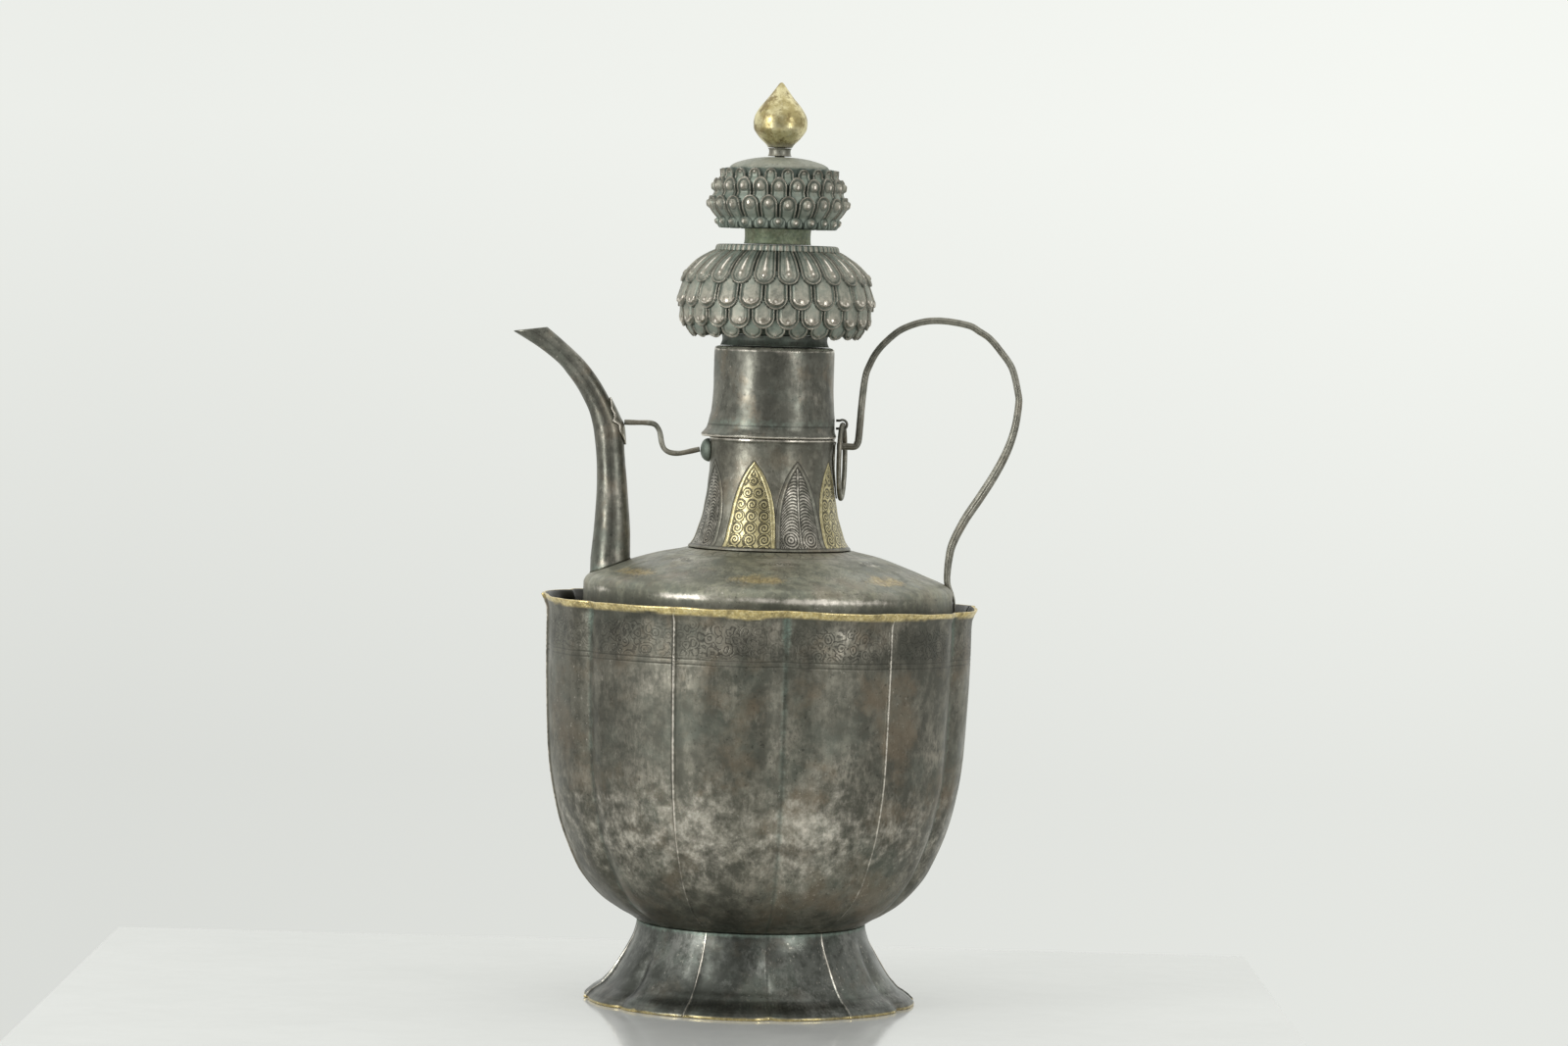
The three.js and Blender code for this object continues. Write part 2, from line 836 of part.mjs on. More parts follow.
function neck() {
  const outer = neckProfile();
  const inner = inset(outer, neckWall);
  const last = inner.length - 1;
  inner[last] = [neckBoreRadius, neckTopZ];
  inner[last - 1] = [neckBoreRadius, collarBaseZ - restGap];
  inner[last - 2] = [neckTopRadius - neckWall, collarBaseZ - 2 * neckWall];
  inner[0][1] = neckBaseZ;
  return turnedSheet(potAxisX, outer, inner.reverse());
}

function mouthCollar() {
  const profile = [
    [collarRadius, collarBaseZ],
    [collarRadius, collarTopZ - collarWall / 2],
    [collarRadius - collarWall / 4, collarTopZ],
    [collarRadius - collarWall, collarTopZ],
    [collarRadius - collarWall, collarBaseZ],
  ];
  return turned(potAxisX, profile, roundSegments, true);
}

// Point on the spout's skin: row may be fractional, angle 0 faces +X, offset moves outwards
function spoutPoint(row, angle, offset) {
  const low = Math.min(Math.floor(row), spoutShares.length - 2);
  const share = row - low;
  const mixed = spoutShares[low].map((value, i) => value + share * (spoutShares[low + 1][i] - value));
  const centreX = potAxisX - spoutFootReach - mixed[0] * (spoutReach - spoutFootReach);
  const centreZ = spoutFootZ + mixed[1] * spoutHeight;
  const half = spoutHalfDepth * Math.hypot(mixed[2], mixed[3]);
  const ux = mixed[2] * spoutHalfDepth / half;
  const uz = -mixed[3] * spoutHalfDepth / half;
  const depth = (half + offset) * Math.cos(angle);
  const width = (half * mixed[4] + offset) * Math.sin(angle);
  return [centreX + ux * depth, width, centreZ + uz * depth];
}

function spoutRing(row, offset) {
  const ring = [];
  for (let i = 0; i < spoutSegments; i++) {
    ring.push(spoutPoint(row, 2 * Math.PI * i / spoutSegments, offset));
  }
  return ring;
}

// The spout's lowest ring follows the shoulder it stands on
function spoutBaseRing(offset) {
  const profile = shoulderProfile();
  return spoutRing(0, offset).map((point) => {
    const radius = Math.hypot(point[0] - potAxisX, point[1]);
    return [point[0], point[1], heightOn(profile, radius) + jointGap];
  });
}

function spout() {
  const rows = spoutShares.length;
  const rings = [spoutBaseRing(0)];
  for (let row = 0; row < rows; row++) {
    rings.push(spoutRing(row, 0));
  }
  rings.push(spoutRing(rows - 1, -spoutMouthWall));
  for (let row = rows - 2; row >= 0; row -= 2) {
    rings.push(spoutRing(row, -spoutWall));
  }
  rings.push(spoutBaseRing(-spoutWall));
  return loft(rings, true);
}

// A thin solid between two skins given by a point function of across, along and depth
function patch(pointAt, across, along, thickness) {
  const rings = [];
  for (let v = 0; v <= along; v++) {
    const ring = [];
    for (let u = 0; u <= across; u++) {
      ring.push(pointAt(u / across * 2 - 1, v / along, thickness));
    }
    for (let u = across; u >= 0; u--) {
      ring.push(pointAt(u / across * 2 - 1, v / along, 0));
    }
    rings.push(ring);
  }
  return capStrip(rings, across);
}

// Closes a run of two-sided strips, zipping the two sides together at both ends
function capStrip(rings, across) {
  const positions = [];
  const indices = [];
  const count = rings[0].length;
  for (const ring of rings) {
    for (const point of ring) {
      positions.push(point[0], point[1], point[2]);
    }
  }
  for (let v = 0; v < rings.length - 1; v++) {
    stitch(indices, v * count, count, (v + 1) * count, count);
  }
  const last = (rings.length - 1) * count;
  for (let u = 0; u < across; u++) {
    const front = u;
    const back = count - 1 - u;
    indices.push(front, back, back - 1);
    indices.push(front, back - 1, front + 1);
    indices.push(last + front, last + back - 1, last + back);
    indices.push(last + front, last + front + 1, last + back - 1);
  }
  const geometry = new THREE.BufferGeometry();
  geometry.setAttribute('position', new THREE.Float32BufferAttribute(positions, 3));
  geometry.setIndex(indices);
  return faceOut(geometry);
}

// Leaf outline: half width as a share, from a blunt start to a point
function leafShare(v, bluntness, tip) {
  const start = Math.pow(Math.min(v / bluntness, 1), 0.5);
  const end = Math.pow(Math.max(1 - (v - bluntness) / (1 - bluntness), 0), 0.8);
  return Math.max(Math.min(start, v > bluntness ? end : 1), tip);
}

function saddlePlate() {
  const pointAt = (u, v, depth) => {
    const waves = 1 + saddleWaveShare * Math.cos(2 * Math.PI * saddleWaves * v);
    const width = Math.max(Math.sin(Math.PI * v), saddleTipShare) * waves / (1 + saddleWaveShare);
    const share = saddleStartShare + v * (saddleEndShare - saddleStartShare);
    const row = share * (spoutShares.length - 1);
    return spoutPoint(row, radians(u * width * saddleHalfAngle), plateGap + depth);
  };
  return patch(pointAt, saddleAcrossSegments, saddleAlongSegments, saddleThickness);
}

// Rings of an oval section along a path in the XZ plane
function flatPathRings(path) {
  const rings = [];
  for (let i = 0; i < path.length; i++) {
    const before = path[Math.max(i - 1, 0)];
    const after = path[Math.min(i + 1, path.length - 1)];
    const dx = after.x - before.x;
    const dz = after.z - before.z;
    const length = Math.hypot(dx, dz);
    const ring = [];
    for (let k = 0; k < wireSegments; k++) {
      const angle = 2 * Math.PI * (k + 0.5) / wireSegments;
      const depth = path[i].depth * Math.cos(angle);
      const x = path[i].x - depth * dz / length;
      const z = path[i].z + depth * dx / length;
      ring.push([x, path[i].width * Math.sin(angle), z]);
    }
    rings.push(ring);
  }
  return rings;
}

function rod(path) {
  const first = path[0];
  const last = path[path.length - 1];
  return loft([[[first.x, 0, first.z]], ...flatPathRings(path), [[last.x, 0, last.z]]], false);
}

// Where the spout's skin on the neck's side stands at a height
function spoutInnerX(z) {
  const profile = spoutShares.map((row, i) => {
    const point = spoutPoint(i, 0, 0);
    return [point[0], point[2]];
  });
  return radiusOn(profile, z);
}

function strutWire() {
  const startX = spoutInnerX(strutTopZ) + plateGap + saddleThickness + strutStartGap;
  const bossTop = neckSkin(-1, 0, bossZ, plateGap + bossHeight);
  const span = bossTop[0] - strutEndGap - startX;
  return rod(strutShares.map((row) => ({
    x: startX + row[0] * span,
    z: strutTopZ - row[1] * strutDrop,
    depth: strutRadius,
    width: strutRadius,
  })));
}

function handlePoint(row, x, z) {
  return { x: x, z: z, depth: row[2] * handleHalfDepth, width: row[3] * handleHalfWidth };
}

function handle() {
  const startX = neckSkin(1, 0, handleBarZ, plateGap + neckPlateThickness + handleStartGap)[0];
  const outX = potAxisX + handleReach;
  const legX = potAxisX + shoulderEdgeRadius + handleLegGap + handleHalfDepth * handleLegDepthShare;
  const path = [];
  for (const row of handleRiseShares) {
    path.push(handlePoint(row, startX + row[0] * (outX - startX), handleBarZ + row[1] * handleRise));
  }
  for (const row of handleReturnShares) {
    const z = handleLegTopZ + row[1] * (handleTopZ - handleLegTopZ);
    path.push(handlePoint(row, legX + row[0] * (outX - legX), z));
  }
  for (const row of handleLegShares) {
    path.push(handlePoint(row, legX + row[0] * handleLegBend, handleEndZ + row[1] * handleLegHeight));
  }
  return rod(path);
}

// Point on the neck's skin on the side given by direction, +1 for +X and -1 for -X
function neckSkin(direction, y, z, lift) {
  const radius = radiusOn(neckProfile(), z) + lift;
  return [potAxisX + direction * Math.sqrt(radius * radius - y * y), y, z];
}

function strutBoss() {
  const rings = [[neckSkin(-1, 0, bossZ, plateGap)]];
  const ringAt = (radiusShare, heightShare) => {
    const ring = [];
    for (let k = 0; k < smallSegments; k++) {
      const angle = 2 * Math.PI * k / smallSegments;
      const y = radiusShare * bossRadius * Math.cos(angle);
      const z = bossZ + radiusShare * bossRadius * Math.sin(angle);
      ring.push(neckSkin(-1, y, z, plateGap + heightShare * bossHeight));
    }
    return ring;
  };
  for (const share of bossFlatShares) {
    rings.push(ringAt(share, 0));
  }
  for (const row of bossDomeShares) {
    rings.push(ringAt(row[0], row[1]));
  }
  rings.push([neckSkin(-1, 0, bossZ, plateGap + bossHeight)]);
  return loft(rings, false);
}

function handleNeckPlate() {
  const pointAt = (u, v, depth) => {
    const halfWidth = neckPlateHalfWidth * leafShare(v, neckPlateBluntShare, neckPlateTipShare);
    const z = neckPlateTopZ - v * neckPlateLength;
    return neckSkin(1, u * halfWidth, z, plateGap + depth);
  };
  return patch(pointAt, plateAcrossSegments, plateAlongSegments, neckPlateThickness);
}

function lidCap() {
  const ringOf = (row, count) => {
    const centreX = potAxisX + row[2] * capLipSkew;
    return circle(centreX, 0, row[0] * capRadius, capFootZ + row[1] * capHeight, count);
  };
  const rings = [[[potAxisX, 0, capFootZ + capInnerShares[0][1] * capHeight]]];
  for (const row of capInnerShares) {
    rings.push(ringOf(row, coarseSegments));
  }
  for (const row of capOuterShares) {
    rings.push(ringOf(row, roundSegments));
  }
  rings.push([[potAxisX, 0, capTopZ]]);
  return loft(rings, false);
}

function lidBand() {
  const low = bandBaseZ;
  const middle = (low + bandTopZ) / 2;
  const profile = [
    [bandRadius, low],
    [bandRadius - bandWaist, middle],
    [bandRadius, bandTopZ],
    [bandRadius - bandWall, bandTopZ],
    [bandRadius - bandWall - bandWaist, middle],
    [bandRadius - bandWall, low],
  ];
  return turned(potAxisX, profile, roundSegments, true);
}

// A ring of petals: relief is greatest on each petal's middle line
function petalRing(radius, z, relief, row, petals) {
  const ring = [];
  const steps = petalReliefShares.length;
  const count = petals * steps;
  for (let i = 0; i < count; i++) {
    const shifted = (i + ((row + 1) % 2) * steps / 2) % steps;
    const angle = 2 * Math.PI * i / count;
    const reach = radius - relief * (1 - petalReliefShares[shifted]);
    ring.push([potAxisX + reach * Math.cos(angle), reach * Math.sin(angle), z]);
  }
  return ring;
}

function lotusTier(tier) {
  const rings = [];
  const height = tier.topZ - tier.bottomZ;
  const outer = tier.shares.map((row) => [row[0] * tier.radius, tier.bottomZ + row[1] * height]);
  for (let i = 0; i < tier.shares.length; i++) {
    const row = tier.shares[i];
    rings.push(petalRing(outer[i][0], outer[i][1], row[2] * tier.relief, row[3], tier.petals));
  }
  rings.push(circle(potAxisX, 0, tier.holeRadius, tier.bottomZ, coarseSegments));
  for (let i = tier.shares.length - 1; i >= 0; i--) {
    if (tier.shares[i][4] === 0) {
      continue;
    }
    const radius = outer[i][0] - tier.relief - tier.shell;
    const z = Math.min(Math.max(outer[i][1], tier.bottomZ + tier.shell), tier.topZ - tier.shell);
    rings.push(circle(potAxisX, 0, radius, z, coarseSegments));
  }
  rings.push(circle(potAxisX, 0, tier.mouthRadius, tier.topZ, coarseSegments));
  return loft(rings, true);
}

function lowerLotus() {
  return lotusTier({
    shares: lowerShares,
    radius: lowerRadius,
    topZ: lowerTopZ,
    bottomZ: lowerBottomZ,
    relief: lowerRelief,
    shell: lowerShell,
    petals: lowerPetals,
    holeRadius: lowerHoleRadius,
    mouthRadius: lowerMouthRadius,
  });
}

function upperLotus() {
  return lotusTier({
    shares: upperShares,
    radius: upperRadius,
    topZ: upperTopZ,
    bottomZ: upperBottomZ,
    relief: upperRelief,
    shell: upperShell,
    petals: upperPetals,
    holeRadius: upperHoleRadius,
    mouthRadius: upperMouthRadius,
  });
}

function waistRing() {
  const low = waistBaseZ;
  const high = waistTopZ;
  const middle = (low + high) / 2;
  const profile = [
    [waistRadius + waistFlare, low],
    [waistRadius, middle],
    [waistRadius + waistFlare, high],
    [waistRadius - waistWall, high],
    [waistRadius - waistWall, low],
  ];
  return turned(potAxisX, profile, roundSegments, true);
}

function lidDome() {
  const outer = scaled(domeShares, domeRadius, domeBaseZ, domeHeight);
  outer[outer.length - 1][0] = tangHoleRadius;
  const inner = [];
  for (let i = outer.length - 1; i > 1; i--) {
    inner.push([outer[i][0], outer[i][1] - domeSheet]);
  }
  inner.push([outer[1][0] - 2 * domeSheet, domeBaseZ]);
  return turnedSheet(potAxisX, [[domeRadius, domeBaseZ], ...outer], inner);
}

function finialStem() {
  const middle = (stemBaseZ + stemTopZ) / 2;
  const profile = [
    [stemRadius, stemBaseZ],
    [stemRadius - stemWaist, middle],
    [stemRadius, stemTopZ],
    [tangHoleRadius, stemTopZ],
    [tangHoleRadius, stemBaseZ],
  ];
  return turned(potAxisX, profile, coarseSegments, true);
}

function finialBud() {
  const skin = scaled(budShares, budRadius, budBaseZ, budHeight);
  const profile = [[0, tangEndZ], [tangRadius, tangEndZ], [tangRadius, budBaseZ], ...skin, [0, budTipZ]];
  return turned(potAxisX, profile, coarseSegments, false);
}

// Where the cap's outside stands on the handle's side at a height
function capEdgeX(z) {
  const profile = capOuterShares.map((row) => [
    row[0] * capRadius + row[2] * capLipSkew,
    capFootZ + row[1] * capHeight,
  ]);
  return potAxisX + radiusOn(profile, z);
}

function eyeCentreX() {
  return capEdgeX(eyeZ) + eyeStand;
}

function eyePoint(x, z) {
  return { x: x, z: z, depth: eyeWireRadius, width: eyeWireRadius };
}

// The eye is a bent wire whose two ends run back to the cap
function lidEye() {
  const half = eyeMeanRadius * Math.sin(radians(eyeHalfAngle));
  const path = [eyePoint(capEdgeX(eyeZ - half) + jointGap, eyeZ - half)];
  for (let i = 0; i <= wireSegments; i++) {
    const angle = radians(-eyeHalfAngle + 2 * eyeHalfAngle * i / wireSegments);
    const x = eyeCentreX() + eyeMeanRadius * Math.cos(angle);
    path.push(eyePoint(x, eyeZ + eyeMeanRadius * Math.sin(angle)));
  }
  path.push(eyePoint(capEdgeX(eyeZ + half) + jointGap, eyeZ + half));
  return rod(path);
}

function lidLink() {
  const halfHeight = linkHeight / 2 - linkWireRadius;
  const halfWidth = linkWidth / 2 - linkWireRadius;
  const centreX = eyeCentreX() + linkShift;
  const centreZ = linkTopZ - linkHeight / 2;
  const turn = radians(linkTurn);
  const rings = [];
  for (let i = 0; i < linkSegments; i++) {
    const angle = 2 * Math.PI * i / linkSegments;
    const tangentY = -halfWidth * Math.sin(angle);
    const tangentZ = halfHeight * Math.cos(angle);
    const length = Math.hypot(tangentY, tangentZ);
    const y = halfWidth * Math.cos(angle);
    const z = centreZ + halfHeight * Math.sin(angle);
    const ring = [];
    for (let k = 0; k < wireSegments; k++) {
      const around = 2 * Math.PI * k / wireSegments;
      const outward = linkWireRadius * Math.cos(around);
      const side = linkWireRadius * Math.sin(around);
      const localY = y + outward * tangentZ / length;
      const localZ = z - outward * tangentY / length;
      const x = centreX + side * Math.cos(turn) + localY * Math.sin(turn);
      ring.push([x, localY * Math.cos(turn) - side * Math.sin(turn), localZ]);
    }
    rings.push(ring);
  }
  return loft(rings, true);
}

const silverColor = 0x6b675c;
const darkSilverColor = 0x5c5a54;
const lotusColor = 0x6d7468;
const giltColor = 0xb59c58;

addPiece('bowl_shell', bowlShell(), darkSilverColor);
addPiece('bowl_foot', bowlFoot(), darkSilverColor);
addPiece('pot_body', potBody(), silverColor);
addPiece('pot_foot_ring', potFootRing(), silverColor);
addPiece('pot_shoulder', potShoulder(), silverColor);
addPiece('neck', neck(), silverColor);
addPiece('mouth_collar', mouthCollar(), silverColor);
addPiece('spout', spout(), silverColor);
addPiece('spout_saddle', saddlePlate(), silverColor);
addPiece('strut_wire', strutWire(), silverColor);
addPiece('strut_boss', strutBoss(), silverColor);
addPiece('handle', handle(), silverColor);
addPiece('handle_neck_plate', handleNeckPlate(), silverColor);
addPiece('lid_cap', lidCap(), silverColor);
addPiece('lid_band', lidBand(), lotusColor);
addPiece('lower_lotus', lowerLotus(), lotusColor);
addPiece('waist_ring', waistRing(), lotusColor);
addPiece('upper_lotus', upperLotus(), lotusColor);
addPiece('lid_dome', lidDome(), lotusColor);
addPiece('finial_stem', finialStem(), lotusColor);
addPiece('finial_bud', finialBud(), giltColor);
addPiece('lid_eye', lidEye(), silverColor);
addPiece('lid_link', lidLink(), darkSilverColor);

export default group;
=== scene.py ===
"""Looks for the warming pot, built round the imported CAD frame. Lengths are in metres."""
import math

import bpy
import numpy as np
from mathutils import Euler, Matrix, Vector


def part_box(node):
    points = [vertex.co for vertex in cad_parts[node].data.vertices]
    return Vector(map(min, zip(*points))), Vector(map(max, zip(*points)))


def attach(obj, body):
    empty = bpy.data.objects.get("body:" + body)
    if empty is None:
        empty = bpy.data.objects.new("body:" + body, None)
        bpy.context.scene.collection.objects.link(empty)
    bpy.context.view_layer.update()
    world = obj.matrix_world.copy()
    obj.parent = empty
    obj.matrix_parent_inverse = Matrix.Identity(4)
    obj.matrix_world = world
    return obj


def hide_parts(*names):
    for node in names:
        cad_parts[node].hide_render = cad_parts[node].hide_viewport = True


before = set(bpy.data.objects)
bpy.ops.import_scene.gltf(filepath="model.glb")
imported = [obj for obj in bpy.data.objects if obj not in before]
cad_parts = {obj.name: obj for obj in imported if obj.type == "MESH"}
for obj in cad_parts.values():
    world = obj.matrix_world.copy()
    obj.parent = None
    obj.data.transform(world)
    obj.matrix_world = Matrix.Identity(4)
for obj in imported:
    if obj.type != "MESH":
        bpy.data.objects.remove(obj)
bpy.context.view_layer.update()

MM = 0.001


def middle_x(node):
    low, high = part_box(node)
    return (low.x + high.x) / 2


def top_z(node):
    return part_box(node)[1].z


def low_z(node):
    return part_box(node)[0].z


def half_width(node):
    """Half a node's size from front to back."""
    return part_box(node)[1].y


# Upright axes, heights and radii, most of them taken from the frame
BOWL_X = middle_x("bowl_foot")
POT_X = middle_x("neck")
BOWL_RADIUS = 92 * MM
BOWL_BOTTOM = low_z("bowl_shell")
BOWL_RIM = 167.5 * MM
FOOT_RADIUS = 69.5 * MM
FOOT_TOP = top_z("bowl_foot")
POT_RADIUS = half_width("pot_body")
POT_BOTTOM = low_z("pot_body")
POT_WALL_TOP = top_z("pot_body")
SHOULDER_RADIUS = half_width("pot_shoulder")
SHOULDER_LOW = low_z("pot_shoulder")
SHOULDER_TOP = top_z("pot_shoulder")
NECK_BASE = low_z("neck")
NECK_TOP = top_z("neck")
NECK_RADIUS = 25.9 * MM
CAP_FOOT = low_z("lid_cap")
CAP_TOP = top_z("lid_cap")
CAP_RADIUS = 25.1 * MM

# Sheet thicknesses
BOWL_WALL = 1.4 * MM
FOOT_WALL = 1.3 * MM
POT_WALL = 1.2 * MM
CAP_WALL = 1.0 * MM

# Camera, solved from the photograph's vanishing lines and outline
CAMERA_PLACE = (0, -2.24, 0.296)
CAMERA_YAW = math.radians(-0.2069)
CAMERA_PITCH = math.radians(-2.4346)
CAMERA_ROLL = math.radians(1.5369)
CAMERA_LENS = 122.78
SENSOR_WIDTH = 36


def make_camera():
    data = bpy.data.cameras.new("camera")
    data.lens = CAMERA_LENS
    data.sensor_width = SENSOR_WIDTH
    data.clip_end = 20
    camera = bpy.data.objects.new("camera", data)
    bpy.context.scene.collection.objects.link(camera)
    upright = Euler((math.pi / 2 + CAMERA_PITCH, 0, CAMERA_YAW), "XYZ").to_matrix()
    camera.rotation_mode = "QUATERNION"
    camera.rotation_quaternion = (upright @ Matrix.Rotation(CAMERA_ROLL, 3, "Z")).to_quaternion()
    camera.location = CAMERA_PLACE
    bpy.context.scene.camera = camera


make_camera()


# Curves and meshes


def spline(points, step=1.0, each=None):
    """A Catmull-Rom curve through the points, about a step apart or with so many steps each."""
    p = np.asarray(points, float)
    padded = np.vstack([2 * p[0] - p[1], p, 2 * p[-1] - p[-2]])
    out = []
    for i in range(1, len(padded) - 2):
        a, b, c, d = padded[i - 1 : i + 3]
        count = each or max(1, int(round(np.linalg.norm(c - b) / step)))
        t = (np.arange(count) / count)[:, None]
        out.append(
            0.5 * (2 * b + (c - a) * t + (2 * a - 5 * b + 4 * c - d) * t**2 + (3 * b - a - 3 * c + d) * t**3)
        )
    out.append(p[-1:])
    return np.vstack(out)


def sized(shares, radius, base, height):
    return [(row[0] * radius, base + row[1] * height) for row in shares]


def normals_2d(curve):
    """Unit normals of a profile of radius and height, on its right-hand side going along it."""
    step = np.gradient(curve, axis=0)
    step /= np.linalg.norm(step, axis=1)[:, None]
    return np.column_stack([step[:, 1], -step[:, 0]])


def length_along(curve):
    return np.concatenate([[0], np.cumsum(np.linalg.norm(np.diff(curve, axis=0), axis=1))])


def new_mesh(name, points, faces, marks=None):
    mesh = bpy.data.meshes.new(name)
    mesh.from_pydata(np.asarray(points).tolist(), [], faces)
    mesh.polygons.foreach_set("use_smooth", [True] * len(mesh.polygons))
    for key, values in (marks or {}).items():
        layer = mesh.attributes.new(key, "FLOAT", "POINT")
        layer.data.foreach_set("value", np.asarray(values, np.float32).ravel())
    mesh.update()
    thing = bpy.data.objects.new(name, mesh)
    bpy.context.scene.collection.objects.link(thing)
    return thing


def grid_faces(rows, around, looped):
    """Quads between rows of points that run round a loop; looped joins the last row to the first."""
    v = np.arange(rows if looped else rows - 1)
    u = np.arange(around)
    a = (v[:, None] * around + u[None, :]).ravel()
    b = (v[:, None] * around + (u[None, :] + 1) % around).ravel()
    c = (((v[:, None] + 1) % rows) * around + (u[None, :] + 1) % around).ravel()
    d = (((v[:, None] + 1) % rows) * around + u[None, :]).ravel()
    return np.column_stack([a, b, c, d]).tolist()


def skin(name, grid, looped, marks):
    """A closed mesh from rows of points; the end rows are closed with a fan unless it is looped."""
    rows, around = grid.shape[:2]
    points = grid.reshape(-1, 3)
    faces = grid_faces(rows, around, looped)
    marks = {key: np.broadcast_to(value, (rows, around)).ravel() for key, value in marks.items()}
    if not looped:
        points = np.vstack([points, grid[0].mean(axis=0), grid[-1].mean(axis=0)])
        first = rows * around
        for u in range(around):
            after = (u + 1) % around
            faces.append([first, after, u])
            faces.append([first + 1, first - around + u, first - around + after])
        marks = {key: np.concatenate([value, [value[0], value[-1]]]) for key, value in marks.items()}
    thing = new_mesh(name, points, faces, marks)
    face_out(thing)
    return thing


def face_out(thing):
    """Turns a closed piece's faces outwards."""
    mesh = thing.data
    mesh.calc_loop_triangles()
    co = np.zeros(len(mesh.vertices) * 3)
    mesh.vertices.foreach_get("co", co)
    tri = np.zeros(len(mesh.loop_triangles) * 3, int)
    mesh.loop_triangles.foreach_get("vertices", tri)
    corners = co.reshape(-1, 3)[tri.reshape(-1, 3)]
    volume = np.einsum("ij,ij->i", corners[:, 0], np.cross(corners[:, 1], corners[:, 2])).sum()
    if volume < 0:
        mesh.flip_normals()


def turns(count):
    """Evenly spaced angles round the circle, in radians."""
    return 2 * math.pi * np.arange(count) / count


def round_grid(radius, turn, z, centre_x):
    """Points round an upright axis; a turn of 0 faces the front and grows towards +X."""
    place = np.broadcast_arrays(centre_x + radius * np.sin(turn), -radius * np.cos(turn), z)
    return np.stack(place, axis=2)


def turn_profile(profile, around, centre_x):
    """Rows of points round an upright axis from a profile of radius and height."""
    profile = np.asarray(profile)
    return round_grid(profile[:, :1], turns(around), profile[:, 1:2], centre_x)


def push_in(grid, turn, depth):
    """Moves points towards their upright axis."""
    grid[:, :, 0] -= depth * np.sin(turn)
    grid[:, :, 1] += depth * np.cos(turn)


def waver(grid, seed, amount, wave):
    """Moves points a little in and out in slow waves, as hand-beaten sheet has."""
    random = np.random.default_rng(seed)
    moved = grid.copy()
    total = np.zeros(grid.shape[:2])
    for _ in range(9):
        direction = random.normal(size=3)
        direction *= 2 * math.pi / (wave * random.uniform(0.7, 1.8)) / np.linalg.norm(direction)
        total += np.sin(grid @ direction + random.uniform(0, 2 * math.pi))
    total *= amount / 3
    flat = grid[:, :, :2] - grid[:, :, :2].mean(axis=1, keepdims=True)
    reach = np.maximum(np.linalg.norm(flat, axis=2, keepdims=True), MM)
    moved[:, :, :2] += flat / reach * total[:, :, None]
    return moved


def step_up(value, low, high):
    t = np.clip((value - low) / (high - low), 0, 1)
    return t * t * (3 - 2 * t)


def bump_at(value, centre, width):
    return np.exp(-(((value - centre) / width) ** 2))


def ragged(angle, seed, slowest, fastest):
    """A smooth irregular run of about -1 to 1 round the circle, the same at both ends."""
    random = np.random.default_rng(seed)
    total = np.zeros(np.shape(angle))
    for turns in range(slowest, fastest):
        size = random.normal() / math.sqrt(turns)
        total += size * np.cos(turns * np.radians(angle) + random.uniform(0, 2 * math.pi))
    return total / np.abs(total).max()


def outer_rows(count, total):
    """1 for the rows of the outer face, which come first, and 0 for the rest."""
    return (np.arange(total) < count).astype(float)[:, None]


def piece(name, node, body, slot, material, grid, looped=False, **marks):
    """A closed piece that rides on a body in place of a node of the frame."""
    thing = skin(name, np.asarray(grid, float), looped, marks)
    thing.data.materials.append(material)
    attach(thing, body)
    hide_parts(node)


# Materials


